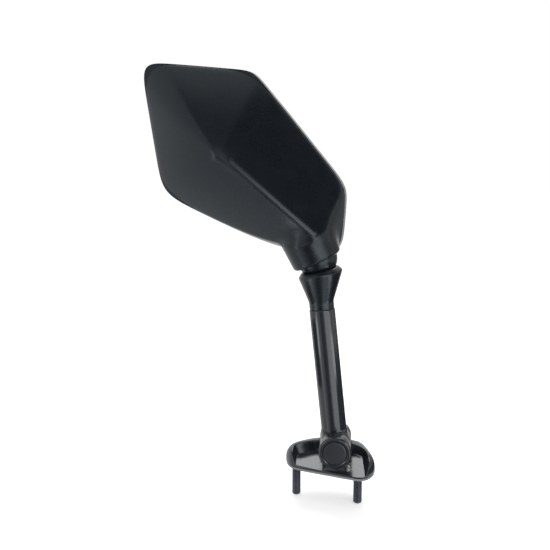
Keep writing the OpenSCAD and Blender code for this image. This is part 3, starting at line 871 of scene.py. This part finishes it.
    def stud(self, side: int) -> Surface:
        """Threaded stud: r = R - depth (1 - tooth), chamfered at its tip and wider at its root.

        The tooth is slope |2 turn - 1| - flat, kept from 0 to 1, with turn the fraction of z / pitch - u / 2 pi.

        Args:
            side: -1 for the left stud, 1 for the right one.

        Returns:
            The stud's surface.
        """
        a = math.radians(self.skew)
        centre = side * self.stud_spacing / 2 * np.array([math.cos(a), math.sin(a)])
        u, stud_r = circle(40), self.stud_d / 2
        low, high = -self.stud_drop, self.floor_z - self.root_cover
        z = np.arange(low, high + 0.01, self.thread_pitch / 10)[:, None]
        turn = np.mod(z / self.thread_pitch - u / (2 * np.pi), 1)
        tooth = np.clip(np.abs(2 * turn - 1) * self.thread_slope - self.thread_flat, 0, 1)
        runout = np.clip((self.gasket_t - z) / self.thread_pitch - 0.2, 0, 1)
        r = stud_r - self.thread_depth * self.thread_pitch * (1 - tooth) * runout
        r = np.minimum(r, stud_r - self.stud_d / 8 + (z - low))
        r = np.where(z > self.root_z, stud_r + self.root_w, r)
        points = np.stack([centre[0] + r * np.cos(u), centre[1] + r * np.sin(u), np.broadcast_to(z, r.shape)], -1)
        return Surface.loft(points)

    def build(self) -> None:
        """Makes and dresses the base and everything that rides on it."""
        casting = self.casting()
        ears = self.front_ear().joined(self.rear_ear()).mesh_object("ears")
        place(merged("base_body", casting, ears), "base", "gloss_metal", "base_casting")
        place(self.cap().mesh_object("round_cap"), "base", "cap_plastic", "pivot_cap")
        place(self.gasket().mesh_object("gasket_pad"), "base", "gasket_rubber", "base_gasket")
        for side, name in ((-1, "left"), (1, "right")):
            place(self.stud(side).mesh_object(f"threaded_stud_{name}"), "base", "dark_steel", f"stud_{name}")
        for node in ("pivot_nut", "nut_washer", "pivot_bolt"):
            smooth_copy(node, "base", "dark_steel")


@dataclass
class FoldingArm:
    """Cast arm with its hinge tongue, and the rubber boot on its top."""

    fold: np.ndarray = table(5.7, 5.5, 16.25)
    lean: float = 6.2
    rod_r: float = 8.45
    barrel_r: float = 11.2
    bore_r: float = 4.06
    tongue_w: float = 17.0
    tongue_power: float = 10.0
    joint_soft: float = 3.4
    lift_end: float = 26.0
    ball_reach: float = 131.0
    ball_rise: float = 18.0
    boot_grip: float = 16.6
    boot_foot: float = 5.0
    boot_r: float = 8.45
    boot_bore_r: float = 6.76
    bowl_r: float = 10.9
    neck_r: float = 6.7
    shank_r: float = 5.02
    mouth_r: float = 15.1
    mouth_lean: float = 13.0
    mouth_drop: float = 10.3

    @property
    def axis(self) -> Leaning:
        """Line of the arm from the fold axis."""
        return Leaning(self.fold, self.lean)

    @property
    def ball(self) -> np.ndarray:
        """Centre of the ball."""
        return self.axis.at(self.ball_reach)

    def rod(self) -> Surface:
        """Arm and tongue in one grid round the arm's line, with the bore for the ball stud.

        At height t the section is the softly joined higher of the rod's circle and the tongue's rounded
        rectangle, R(u) = max(rod, (|cos u / X|^10 + |sin u / Y|^10)^(-1/10)) with X = sqrt(barrel^2 - t^2).
        The joint is softest beside the rod and sharp in front, where the rod is flush with the tongue.

        Returns:
            The arm's surface.
        """
        u = circle(160)
        top = self.ball_reach - self.ball_rise
        boot_low = top - self.boot_grip
        round_part = -self.barrel_r * np.cos(np.linspace(0.02, 0.62 * np.pi, 46))
        lift = np.linspace(round_part[-1], self.lift_end, 60)[1:]
        plain = np.linspace(self.lift_end, boot_low - 0.9, 40)[1:]
        t = np.concatenate([round_part, lift, plain])[:, None]
        half_x = np.sqrt(np.maximum(self.barrel_r**2 - t**2, 0.04))
        half_y = self.tongue_w / 2 - 0.2 * np.clip((t - 5) / 3, 0, 1)
        n = self.tongue_power
        tongue = (np.abs(np.cos(u) / half_x) ** n + np.abs(np.sin(u) / half_y) ** n) ** (-1 / n)
        rod = np.where(t > 0, self.rod_r * np.clip(0.4 + t / 5, 0, 1), 0.4)
        soft = self.joint_soft * np.cos(u) ** 2 * np.clip((t - 5) / 5, 0, 1)
        ends = (
            (self.rod_r, boot_low - 0.6), (self.rod_r - 0.12, boot_low - 0.32), (self.rod_r - 0.5, boot_low - 0.2),
            (self.neck_r, boot_low - 0.2), (self.neck_r, top - 0.3), (self.neck_r - 0.3, top),
            (self.shank_r, top), (self.shank_r, boot_low - 1), (0.02, boot_low - 1),
        )
        r = np.vstack([soft_max(rod, tongue, soft), *(np.full(len(u), radius) for radius, _ in ends)])
        return Surface.loft(self.axis.rings(r, np.append(t, [height for _, height in ends]), len(u)))

    def boot(self) -> Surface:
        """Boot as rings C + r (cos u across + sin u back), whose middle and lean go from the arm to the mouth.

        The outside is a straight foot, a cone and a rolled lip; the inside is a bowl round the socket
        cup, a cone clear of the lock nut and a straight grip on the arm's neck.

        Returns:
            The boot's surface.
        """
        mouth = Leaning(self.ball, self.mouth_lean)
        low = self.ball_reach - self.ball_rise - self.boot_grip
        cone = low + self.boot_foot
        drop = -self.mouth_drop
        foot_r, mouth_r, bowl_r, bore_r = self.boot_r, self.mouth_r, self.bowl_r, self.boot_bore_r
        # share of the way from the arm's frame to the mouth's, height in each of them, radius
        rows = [
            (0, low, 0, foot_r - 0.15), (0, low + 0.15, 0, foot_r - 0.03), (0, low + 0.5, 0, foot_r),
            (0, cone - 1.6, 0, foot_r), (0, cone - 0.8, 0, foot_r + 0.02), (0, cone - 0.2, 0, foot_r + 0.1),
        ]
        for w in (0.03, 0.07, *np.linspace(0.13, 0.9, 12), 0.94, 0.97):
            rows.append((w, cone, drop - 1.0, foot_r + w * (mouth_r - foot_r) + 0.12 * (1 - w) ** 8))
        lip = [(14.9, drop - 1.35), (mouth_r, drop - 0.4), (12.9, drop + 2.3), (11.6, drop + 2.3)]
        lip.append((bowl_r, drop + 1.5))
        rows += [(1, 0, t, r) for r, t in eased(lip, [0.1, 0.75, 0.8, 0.3, 0.1], steps=8)]
        rows += [
            (0.75, self.ball_reach - 12.6, drop + 0.6, bowl_r - 0.2), (0, self.ball_reach - 12.0, 0, bowl_r),
            (0, cone + 1, 0, bore_r), (0, low + 0.2, 0, bore_r), (0, low, 0, bore_r + 0.14),
        ]
        w, on_arm, on_mouth, r = np.array(rows, float).T
        mixed = (1 - w)[:, None, None] * self.axis.rings(r[:, None], on_arm, 144)
        mixed += w[:, None, None] * mouth.rings(r[:, None], on_mouth, 144)
        return Surface.loft(mixed, looped=True)

    def build(self) -> None:
        """Makes and dresses the arm, the boot and the ball stud."""
        rod = self.rod().mesh_object("cast_arm")
        x, y, z = self.fold
        cut_by(rod, turned_about_y(x, z, np.array([[self.bore_r, y - 20], [self.bore_r, y + 20]]), 96), Cut.REMOVE)
        place(rod, "arm", "gloss_metal", "arm")
        place(self.boot().mesh_object("rubber_boot"), "arm", "boot_rubber", "boot")
        smooth_copy("ball_stud", "arm", "dark_steel")


@dataclass
class MirrorHead:
    """Moulded head with its collar, the socket cup, the glass and the rubber edge round it."""

    ball: np.ndarray
    peak_left: float = 62.3
    peak_up: float = 67.3
    rim_y: float = 28.9
    depth: float = 48.0
    skirt_h: float = 11.0
    shell_t: float = 2.6
    draft: float = 0.017
    shoulder: float = 0.6
    shoulder_power: float = 44.0
    outline_power: float = 9.7
    crisp_power: float = 22.0
    crisp_spread: float = 14.0
    crest_power: float = 5.5
    crest_spread: float = 24.0
    steepness: float = 4.0
    crease_soft: float = 0.025
    peak_soft: float = 0.05
    bulge: float = 0.25
    ridge_twist: float = 5.6
    bead_start: Pair = (7.8, 2.6)
    bead_end: Pair = (79.0, 1.2)
    bead_r: float = 2.1
    bead_turn: float = 16.0
    bead_sink: float = 0.35
    bead_h: float = 0.6
    collar_lean: float = 25.5
    collar_r: float = 17.1
    collar_flare: float = 2.5
    collar_foot: float = 2.2
    collar_round: float = 2.6
    collar_shift: float = 0.4
    collar_top: float = 12.0
    collar_dome: float = 15.0
    collar_blend: float = 6.0
    blend_depth: float = 0.35
    cup_r: float = 13.7
    cup_play: float = 0.02
    cup_seat: float = 2.5
    bore_low: float = -6.0
    bore_r: float = 11.6
    bore_top: float = 19.0
    well_r: float = 7.5
    well_top: float = 36.0
    pad_y: float = 25.0
    pad_t: float = 0.6
    glass_gap: float = 0.08
    glass_t: float = 2.2
    glass_bow_r: float = 1400.0
    rim_gap: float = 0.3
    seal_w: float = 1.4
    seal_drop: float = 0.4
    seal_play: float = 0.1
    glass_step: float = 4.0
    outline_scale: float = 0.9995
    rim_ease: Triple = (0.9985, 0.9935, 1.008)
    rim_drop: Pair = (0.35, 0.4)
    inner_drop: float = 1.35
    bow_middle: Pair = (14.0, 0.0)
    bow_corner: Pair = (-60.72, 50.6)
    faces: np.ndarray = table(
        (-116.0, 43.8), (-96.0, 61.3), (-4.0, 83.9), (39.5, 51.0), (85.0, 59.9), (188.5, 50.6)
    )

    @property
    def peak(self) -> np.ndarray:
        """Peak of the head in X and Z."""
        return np.array([self.ball[0] - self.peak_left, self.ball[2] + self.peak_up])

    @property
    def ridge_faces(self) -> np.ndarray:
        """The four faces that meet at the peak."""
        low_left = self.faces[0] - np.array([self.ridge_twist, 0])
        return np.stack([low_left, self.faces[3], self.faces[4], self.faces[5]])

    @property
    def ridge_turn(self) -> float:
        """Direction of the ridge from the peak down to the collar."""
        return corner_turn(self.ridge_faces[0], self.ridge_faces[1])

    @property
    def collar(self) -> Leaning:
        """Line of the collar through the ball."""
        return Leaning(self.ball, self.collar_lean)

    def rise(self, v: np.ndarray) -> np.ndarray:
        """Rise of the faces at plan points from the peak, 0 at the outline and 1 at the peak.

        With the slope 1 - g(ridge faces), the side k (1 - g(outline)) and t their soft lower value, the
        rise is crown(t (1 + bulge (1 - t))), and crown rounds the tip.

        Args:
            v: plan points from the peak, shape (..., 2).

        Returns:
            The rise at each of them.
        """
        crest = corner_turn(self.ridge_faces[2], self.ridge_faces[3])
        soften = (self.crest_power - self.outline_power) * self.beside(v, crest, self.crest_spread)
        slope = 1 - gauge(v, self.ridge_faces, self.outline_power + soften)
        side = self.steepness * (1 - gauge(v, self.faces, self.crispness(v)))
        t = np.maximum(soft_min(slope, side, self.crease_soft), 0)
        t = t * (1 + self.bulge * (1 - t))
        one = math.sqrt(1 + self.peak_soft**2)
        return (one - np.sqrt((1 - t) ** 2 + self.peak_soft**2)) / (one - self.peak_soft)

    def beside(self, v: np.ndarray, turn: float, spread: float) -> np.ndarray:
        """Weight of plan points beside a direction: exp(-(d / spread)^2), d their angle from it in degrees."""
        angle = np.degrees(np.arctan2(v[..., 1], v[..., 0])) - turn
        return np.exp(-(((angle + 180) % 360 - 180) / spread) ** 2)

    def crispness(self, v: np.ndarray) -> np.ndarray:
        """Power of the outline at plan points, higher beside the two corners on the right.

        Args:
            v: plan points from the peak, shape (..., 2).

        Returns:
            The power at each of them.
        """
        corners = [corner_turn(self.faces[k], self.faces[k + 1]) for k in (2, 3)]
        crisp = sum(self.beside(v, corner, self.crisp_spread) for corner in corners)
        return self.outline_power + (self.crisp_power - self.outline_power) * np.minimum(crisp, 1)

    def face_y(self, v: np.ndarray) -> np.ndarray:
        """Depth of the outer face at plan points from the peak, drawn back at the shoulder by g^n.

        Args:
            v: plan points from the peak, shape (..., 2).

        Returns:
            The depth at each of them.
        """
        w = v / (1 - self.draft)
        edge = np.minimum(gauge(w, self.faces, self.crispness(w)), 1) ** self.shoulder_power
        return self.rim_y - self.skirt_h - (self.depth - self.skirt_h) * self.rise(w) + self.shoulder * edge

    def point(self, v: np.ndarray, y: np.ndarray | float) -> np.ndarray:
        """Points of the shared frame from plan points from the peak and their depths."""
        return np.stack([self.peak[0] + v[..., 0], np.broadcast_to(y, v.shape[:-1]), self.peak[1] + v[..., 1]], -1)

    def turns(self, step: float = 2.5) -> np.ndarray:
        """Directions from the peak, close together beside the corners and the ridges.

        Args:
            step: step between the plain directions.

        Returns:
            The directions in degrees.
        """
        marks = [corner_turn(f, g) for f, g in zip(self.faces, np.roll(self.faces, -1, 0))]
        marks += [corner_turn(f, g) for f, g in zip(self.ridge_faces, np.roll(self.ridge_faces, -1, 0))]
        return directions_near(marks, step, [0.5, 1.0, 1.6, 2.3, 3.1, 4.0, 5.2, 6.6])

    def outline(self, turns: np.ndarray, shrink: float = 0.0) -> np.ndarray:
        """Outline points from the peak, drawn in by shrink."""
        toward = direction(turns)
        return self.outline_scale * toward / gauge(toward, self.faces, self.crispness(toward), shrink)[:, None]

    def shell(self) -> Surface:
        """Shell as rings from the peak over the faces, the shoulder and the skirt to the rim and back inside.

        Returns:
            The shell's surface.
        """
        turns = self.turns()
        outer, inner = self.outline(turns), self.outline(turns, self.shell_t)
        spans = ((0.012, 0.12, 8), (0.12, 0.80, 30), (0.80, 0.96, 14))
        last = 0.96 + 0.04 * np.sin(np.linspace(0, np.pi / 2, 10))
        shares = np.concatenate([*(np.linspace(*span)[:-1] for span in spans), last])
        drawn = (1 - self.draft) * outer
        rings = [self.point(s * drawn, self.face_y(s * drawn)) for s in shares]
        start = self.rim_y - self.skirt_h + self.shoulder
        for share in np.linspace(0.15, 0.88, 6):
            scale = 1 - self.draft * (1 - share)
            rings.append(self.point(scale * outer, start + share * (self.rim_y - start)))
        rings += [
            self.point(self.rim_ease[0] * outer, self.rim_y - self.rim_drop[0]),
            self.point(self.rim_ease[1] * outer, self.rim_y),
            self.point(self.rim_ease[2] * inner, self.rim_y),
            self.point(inner, self.rim_y - self.rim_drop[1]),
        ]
        for s in (1, 0.96, 0.88, 0.76, 0.6, 0.4, 0.2, 0.03):
            rings.append(self.point(s * inner, self.face_y(s * inner) + self.inner_drop * self.shell_t))
        return Surface.loft(np.stack(rings))

    def collar_form(self) -> Surface:
        """Collar as a turned body: a rounded foot, a slight cone and a dome that runs out in the shell.

        Returns:
            The collar's surface.
        """
        a = np.radians(np.arange(-90, 1, 9))
        foot_r = self.collar_r + self.collar_round * (np.cos(a) - 1)
        foot = np.stack([foot_r, self.collar_round * (1 + np.sin(a)) - self.collar_foot], -1)
        top_r = self.collar_r + self.collar_top * math.tan(math.radians(self.collar_flare))
        side = np.linspace([self.collar_r, 0.5], [top_r, self.collar_top], 14)[1:-1]
        b = np.radians(np.arange(0, 89, 4))
        dome = np.stack([top_r * np.cos(b), self.collar_top + self.collar_dome * np.sin(b)], -1)
        bottom = np.array([[0.02, -self.collar_foot], [8.0, -self.collar_foot]])
        axis = Leaning(self.ball - self.collar_shift * self.collar.across, self.collar_lean)
        return axis.turned(np.concatenate([bottom, foot, side, dome]), sides=180)

    def shell_distance(self, points: np.ndarray) -> np.ndarray:
        """Rough distance of points outside the shell: the higher of the distances to its faces and its skirt.

        Args:
            points: points of the shared frame, shape (points, 3).

        Returns:
            The distance of each.
        """
        v, step = points[:, [0, 2]] - self.peak, 0.05
        y = self.face_y(v)
        slope_x = (self.face_y(v + np.array([step, 0])) - y) / step
        slope_z = (self.face_y(v + np.array([0, step])) - y) / step
        front = (y - points[:, 1]) / np.sqrt(1 + slope_x**2 + slope_z**2)
        back = np.clip((self.rim_y - points[:, 1]) / (self.skirt_h - self.shoulder), 0, 1)
        g = gauge(v / (1 - self.draft * back)[:, None], self.faces, self.crispness(v))
        return np.maximum(front, np.linalg.norm(v, axis=1) * (1 - 1 / g))

    def collar_distance(self, points: np.ndarray) -> np.ndarray:
        """Rough distance of points outside the collar: r - R(t) beside its cone, f / |grad f| round its dome.

        Args:
            points: points of the shared frame, shape (points, 3).

        Returns:
            The distance of each.
        """
        local = self.collar.local(points)
        r = np.hypot(local[:, 0] + self.collar_shift, local[:, 1])
        t = local[:, 2]
        flare = math.radians(self.collar_flare)
        cone = (r - self.collar_r - t * math.tan(flare)) * math.cos(flare)
        a = self.collar_r + self.collar_top * math.tan(flare)
        up = np.maximum(t - self.collar_top, 0)
        size = np.sqrt((r / a) ** 2 + (up / self.collar_dome) ** 2) + 1e-9
        slope = np.sqrt((r / a**2) ** 2 + (up / self.collar_dome**2) ** 2) / size + 1e-9
        return np.where(t < self.collar_top, cone, (size - 1) / slope)

    def blended(self, points: np.ndarray) -> np.ndarray:
        """Distance to shell and collar run together: min(a, b) - k/4 max(0, 1 - |a - b| / k)^2.

        Args:
            points: points of the shared frame, shape (points, 3).

        Returns:
            The distance of each.
        """
        a, b = self.shell_distance(points), self.collar_distance(points)
        k = self.collar_blend
        return np.minimum(a, b) - k / 4 * np.maximum(0, 1 - np.abs(a - b) / k) ** 2

    def relax(self, made: Object) -> None:
        """Moves the outer points where shell and collar meet onto the blended form, p - F grad F, three times.

        Args:
            made: the joined shell and collar.
        """
        points = points_of(made.data) / MM
        a, b = self.shell_distance(points), self.collar_distance(points)
        near = (np.abs(a - b) < self.collar_blend) & (np.minimum(a, b) > -self.blend_depth)
        near &= self.collar.local(points)[:, 2] > -self.collar_foot + self.collar_round
        moved = points[near]
        for _ in range(3):
            level = self.blended(moved)
            slopes = [(self.blended(moved + e) - self.blended(moved - e)) / 0.1 for e in 0.05 * np.eye(3)]
            grad = np.stack(slopes, -1)
            moved = moved - level[:, None] * grad / np.maximum((grad**2).sum(1, keepdims=True), 0.2)
        points[near] = moved
        made.data.vertices.foreach_set("co", (points * MM).ravel())
        made.data.update()
        log.info("collar: %d points run into the shell", int(near.sum()))

    def bead(self) -> Surface:
        """Raised bead: flat-topped rings beside the ridge, |x / b|^4 + |y / h|^4 = 1, with rounded ends.

        Its line runs between two points given along and across the ridge. The flat top is turned by
        bead_turn about that line, to the upper right.

        Returns:
            The bead's surface.
        """
        start, end = np.array(self.bead_start), np.array(self.bead_end)
        rows, round_end = 90, np.radians(np.arange(5, 91, 12))
        reach = start + np.linspace(0, 1, rows)[:, None] * (end - start)
        v = reach @ direction(np.array([self.ridge_turn, self.ridge_turn + 90]))
        path = self.point(v, self.face_y(v) + self.bead_sink)
        ahead = np.gradient(path, axis=0)
        ahead /= np.linalg.norm(ahead, axis=1, keepdims=True)
        side = np.cross(ahead, BACK)
        side /= np.linalg.norm(side, axis=1, keepdims=True)
        up = np.cross(side, ahead)
        a = math.radians(self.bead_turn)
        side, up = math.cos(a) * side + math.sin(a) * up, math.cos(a) * up - math.sin(a) * side
        back, size = np.cos(round_end), np.sin(round_end)
        back = np.concatenate([-back, np.zeros(rows - 2), back[::-1]]) * self.bead_r
        size = np.concatenate([size, np.ones(rows - 2), size[::-1]]) * self.bead_r
        pick = np.repeat(np.arange(rows), [len(round_end), *[1] * (rows - 2), len(round_end)])
        u = circle(48)
        x, y = (np.sign(c) * np.sqrt(np.abs(c)) for c in (np.cos(u), self.bead_h * np.sin(u)))
        section = x[None, :, None] * side[pick, None] + y[None, :, None] * up[pick, None]
        return Surface.loft((path[pick] + back[:, None] * ahead[pick])[:, None] + size[:, None, None] * section)

    def bow(self, v: np.ndarray) -> np.ndarray:
        """Rise of the bowed glass above its far corner: drop(corner) - drop(v), drop = R - sqrt(R^2 - d^2)."""
        far, near = (((p - np.array(self.bow_middle)) ** 2).sum(-1) for p in (np.array(self.bow_corner), v))
        return np.sqrt(self.glass_bow_r**2 - near) - np.sqrt(self.glass_bow_r**2 - far)

    def glass(self) -> Surface:
        """Bowed glass plate with a ground edge.

        Returns:
            The glass's surface.
        """
        edge = self.outline(self.turns(self.glass_step), self.shell_t + self.rim_gap + self.seal_w)
        low = self.pad_y + self.pad_t + self.glass_gap
        rows = [(s, 0.0) for s in (0.02, 0.3, 0.6, 0.9, 0.994)] + [(1.0, 0.4), (1.0, self.glass_t - 0.5)]
        rows += [(s, self.glass_t) for s in (0.993, 0.97, 0.9, 0.8, 0.7, 0.6, 0.5, 0.4, 0.3, 0.2, 0.1, 0.02)]
        return Surface.loft(np.stack([self.point(s * edge, low + h + self.bow(s * edge)) for s, h in rows]))

    def seal(self) -> Surface:
        """Rubber edge between the glass and the rim, with a rounded lip.

        Returns:
            The seal's surface.
        """
        turns = self.turns(self.glass_step)
        foot, top = self.pad_y, self.rim_y - self.seal_drop
        low, high = self.rim_gap, self.rim_gap + self.seal_w - self.seal_play
        rows = [
            (low, foot), (low, top - 0.5), (low + 0.15, top - 0.15), (low + 0.5, top), (low + 0.8, top - 0.12),
            (high, top - 0.6), (high, foot),
        ]
        rings = [self.point(self.outline(turns, self.shell_t + inset), y) for inset, y in rows]
        return Surface.loft(np.stack(rings), looped=True)

    def bore(self) -> Surface:
        """Room in the collar: a seat for the socket cup, the ball joint's bore and a narrower well above it.

        Returns:
            The room's surface.
        """
        cup, bore, well = self.cup_r + self.cup_play, self.bore_r, self.well_r
        corners = [
            (0.02, self.bore_low), (cup, self.bore_low), (cup, self.cup_seat), (bore, self.cup_seat),
            (bore, self.bore_top), (well, self.bore_top), (well, self.well_top), (0.02, self.well_top),
        ]
        return self.collar.turned(np.array(corners))

    def build(self) -> None:
        """Makes and dresses the head and everything that rides on it."""
        made = self.shell().mesh_object("shell_body")
        cut_by(made, self.collar_form(), Cut.JOIN)
        self.relax(made)
        cut_by(made, self.bore(), Cut.REMOVE)
        place(merged("moulded_shell", made, self.bead().mesh_object("bead")), "head", "shell_plastic", "housing")
        place(self.glass().mesh_object("bowed_glass"), "head", "silvered_glass", "mirror_glass")
        place(self.seal().mesh_object("edge_seal"), "head", "boot_rubber", "glass_seal")
        smooth_copy("socket_cup", "head", "shell_plastic")


# Studio


@dataclass(frozen=True)
class Fixture:
    """Lamp or panel of the studio: a rectangle that faces a point of the object.

    Attributes:
        name: its name.
        toward: direction to it from the point that it faces.
        far: distance in metres.
        size: width and height in metres.
        level: brightness of its face against white.
        aim: point that it faces, in metres.
    """

    name: str
    toward: Triple
    far: float
    size: Pair
    level: float = 0.0
    aim: Triple = (-0.02, 0.0, 0.16)

    @property
    def way(self) -> Vector:
        """Unit vector from the point that it faces to its middle."""
        return Vector(self.toward).normalized()

    @property
    def middle(self) -> Vector:
        """Its middle, in metres."""
        return Vector(self.aim) + self.far * self.way

    @property
    def turn(self) -> Quaternion:
        """Turn that points its back away from the object."""
        return self.way.to_track_quat("Z", "Y")


LAMPS = (
    Fixture("lamp_right", (0.62, -0.78, -0.12), 0.9, (0.62, 0.85), 1.95),
    Fixture("lamp_left", (-0.80, -0.58, -0.25), 0.9, (0.14, 0.70), 2.2),
    Fixture("lamp_behind", (0.0, 0.62, 0.78), 0.9, (0.8, 0.45), 4.0),
)
PANELS = (
    Fixture("panel_high", (0.68, -0.28, 0.68), 0.8, (0.90, 0.66), 0.03),
    Fixture("panel_crest", (-0.02, -0.44, 0.89), 0.7, (0.60, 0.34), 0.22),
    Fixture("panel_front", (-0.12, -0.92, -0.36), 0.8, (0.42, 0.50)),
    Fixture("panel_low", (-0.02, -0.62, -0.79), 0.7, (0.36, 0.36)),
    Fixture("panel_right", (0.835, 0.22, -0.505), 0.455, (0.70, 0.20)),
    Fixture("panel_far_right", (0.71, 0.70, 0.0), 0.8, (0.70, 0.60), 0.37),
    Fixture("glint_bead", (0.36, -0.92, 0.14), 0.8, (0.24, 0.28), 4.9),
    Fixture("glint_arm_right", (0.85, -0.45, -0.26), 0.8, (0.24, 0.26), 4.0),
    Fixture("glint_low_left", (-0.58, -0.48, -0.66), 0.7, (0.12, 0.35), 1.8),
    Fixture("glint_low_right", (0.50, -0.55, -0.67), 0.7, (0.20, 0.35), 1.8),
    Fixture("panel_left", (-1.0, 0.0, 0.0), 0.055, (0.052, 0.052), aim=(-0.008, 0.0, 0.058)),
    Fixture("glint_cap_0", (-0.84, -0.26, 0.44), 0.1, (0.035, 0.035), 6.0, (0.006, -0.014, 0.016)),
    Fixture("glint_cap_2", (0.84, -0.26, 0.44), 0.1, (0.035, 0.035), 6.0, (0.006, -0.014, 0.016)),
)


@dataclass
class Studio:
    """Pale floor, white surroundings, soft lamps and the camera.

    Attributes:
        floor_z: height of the floor, under the studs.
        floor_radii: radii of the floor's rings.
        floor_t: thickness of the floor.
        floor_look: share of light that the floor throws back, and its glow.
        panel_t: thickness of a panel, in metres.
        panel_albedo: share of light that a panel throws back.
        white_power: power of a lamp that is as bright as white, for one square metre.
        ambient: level of the light from all round.
        eye: place of the camera.
        turn: turn of the camera to the left, in degrees.
        pitch: tilt of the camera downwards, in degrees.
        view_angle: angle of view, in degrees.
        clip: nearest and farthest distance that the camera sees, in metres.
    """

    floor_z: float = -22.45
    floor_radii: tuple[float, ...] = (1.0, 400.0, 1500.0, 6000.0)
    floor_t: float = 5.0
    floor_look: Pair = (0.86, 0.40)
    panel_t: float = 0.01
    panel_albedo: float = 0.012
    white_power: float = 4.0
    ambient: float = 0.75
    eye: Triple = (11.5, -462.8, 209.0)
    turn: float = 5.9
    pitch: float = 9.0
    view_angle: float = 42.9
    clip: Pair = (0.01, 20.0)

    def floor(self) -> None:
        """Round pale floor that keeps the object's shadow."""
        u, r = circle(96), np.array(self.floor_radii)[:, None]
        flat = np.stack([r * np.cos(u), r * np.sin(u), np.full((len(r), len(u)), self.floor_z)], -1)
        rings = np.concatenate([flat, flat[::-1] - np.array([0, 0, self.floor_t])])
        made = Surface.loft(rings).mesh_object("floor")
        made.data.materials.append(self.white("floor_white", *self.floor_look))
        made.visible_glossy = made.visible_shadow = False

    def white(self, name: str, albedo: float, glow: float) -> Material:
        """Material of the floor and the panels: plain grey or white, with a glow that is seen and lights nothing.

        Args:
            name: name of the material.
            albedo: share of the light that it throws back.
            glow: level added for camera, glossy and transmission rays.

        Returns:
            The material.
        """
        made = bpy.data.materials.new(name)
        tree = cleared_tree(made)
        diffuse = add_node(tree, "BsdfDiffuse", {"Color": (albedo, albedo, albedo, 1)})
        level = add_node(tree, "Math", {0: self.seen(tree), 1: glow}, operation="MULTIPLY")
        light = add_node(tree, "Emission", {"Color": WHITE, "Strength": level.outputs[0]})
        both = add_node(tree, "AddShader", {0: diffuse.outputs[0], 1: light.outputs[0]})
        add_node(tree, "OutputMaterial", {"Surface": both.outputs[0]})
        return made

    def seen(self, tree: NodeTree) -> NodeSocket:
        """Tells camera, glossy and transmission rays from the rest.

        Args:
            tree: node tree that gets the nodes.

        Returns:
            The socket that is 1 for those rays and 0 for the rest.
        """
        rays = add_node(tree, "LightPath", {}).outputs
        seen = rays["Is Camera Ray"]
        for name in ("Is Glossy Ray", "Is Transmission Ray"):
            seen = add_node(tree, "Math", {0: seen, 1: rays[name]}, operation="MAXIMUM").outputs[0]
        return seen

    def surroundings(self) -> None:
        """White world, at full level where it is seen and at the ambient level as a light."""
        world = bpy.data.worlds.new("white_studio")
        bpy.context.scene.world = world
        tree = cleared_tree(world)
        levels = {"Value": self.seen(tree), "To Min": self.ambient, "To Max": 1.0}
        level = add_node(tree, "MapRange", levels).outputs["Result"]
        light = add_node(tree, "Background", {"Color": WHITE, "Strength": level})
        add_node(tree, "OutputWorld", {"Surface": light.outputs[0]})

    def lamp(self, fixture: Fixture) -> None:
        """Soft rectangular lamp, not seen itself.

        Args:
            fixture: its name, place, size and level.
        """
        data = bpy.data.lights.new(fixture.name, "AREA")
        data.shape = "RECTANGLE"
        data.size, data.size_y = width, height = fixture.size
        data.energy = fixture.level * self.white_power * width * height
        made = bpy.data.objects.new(fixture.name, data)
        made.location = fixture.middle
        made.rotation_euler = fixture.turn.to_euler()
        made.visible_camera = False
        bpy.context.collection.objects.link(made)

    def panel(self, fixture: Fixture) -> None:
        """Dark or glowing studio panel that shows only in reflections.

        Args:
            fixture: its name, place, size and level.
        """
        w, h = fixture.size[0] / 2, fixture.size[1] / 2
        edge = ((-w, -h), (w, -h), (w, h), (-w, h))
        middle, turn = fixture.middle, fixture.turn
        sides = (0, self.panel_t)
        corners = np.array([[tuple(middle + turn @ Vector((x, y, z))) for x, y in edge] for z in sides])
        made = Surface.loft(corners / MM).mesh_object(fixture.name)
        made.data.materials.append(self.white(f"{fixture.name}_face", self.panel_albedo, fixture.level))
        made.visible_camera = made.visible_diffuse = made.visible_shadow = False

    def camera(self) -> None:
        """Camera at the photograph's place."""
        data = bpy.data.cameras.new("camera")
        data.angle = math.radians(self.view_angle)
        data.clip_start, data.clip_end = self.clip
        made = bpy.data.objects.new("camera", data)
        turn, pitch = math.radians(self.turn), math.radians(self.pitch)
        ahead = Vector((-math.sin(turn) * math.cos(pitch), math.cos(turn) * math.cos(pitch), -math.sin(pitch)))
        made.location = Vector(self.eye) * MM
        made.rotation_euler = ahead.to_track_quat("-Z", "Y").to_euler()
        bpy.context.collection.objects.link(made)
        bpy.context.scene.camera = made

    def build(self) -> None:
        """Sets up the camera, the floor, the surroundings and the lamps."""
        bpy.context.scene.view_settings.view_transform = "Standard"
        self.camera()
        self.floor()
        self.surroundings()
        for fixture in LAMPS:
            self.lamp(fixture)
        for fixture in PANELS:
            self.panel(fixture)


def dress_solids() -> None:
    """Gives every solid that is still shown the finish of its slot in the record."""
    for row in frame["record"]["subparts"]:
        solid = frame["nodes"][row["node"]]
        material = FINISHES[row["material_slot"]].material()
        if not solid.material_slots:
            solid.data.materials.append(material)
        for holder in solid.material_slots:
            holder.material = material


def main() -> None:
    """Builds the studio and the object's sub-assemblies in order."""
    logging.basicConfig(level=logging.INFO, format="%(message)s")
    Studio().build()
    dress_solids()
    MountingBase().build()
    arm = FoldingArm()
    arm.build()
    MirrorHead(arm.ball).build()


if __name__ == "__main__":
    main()
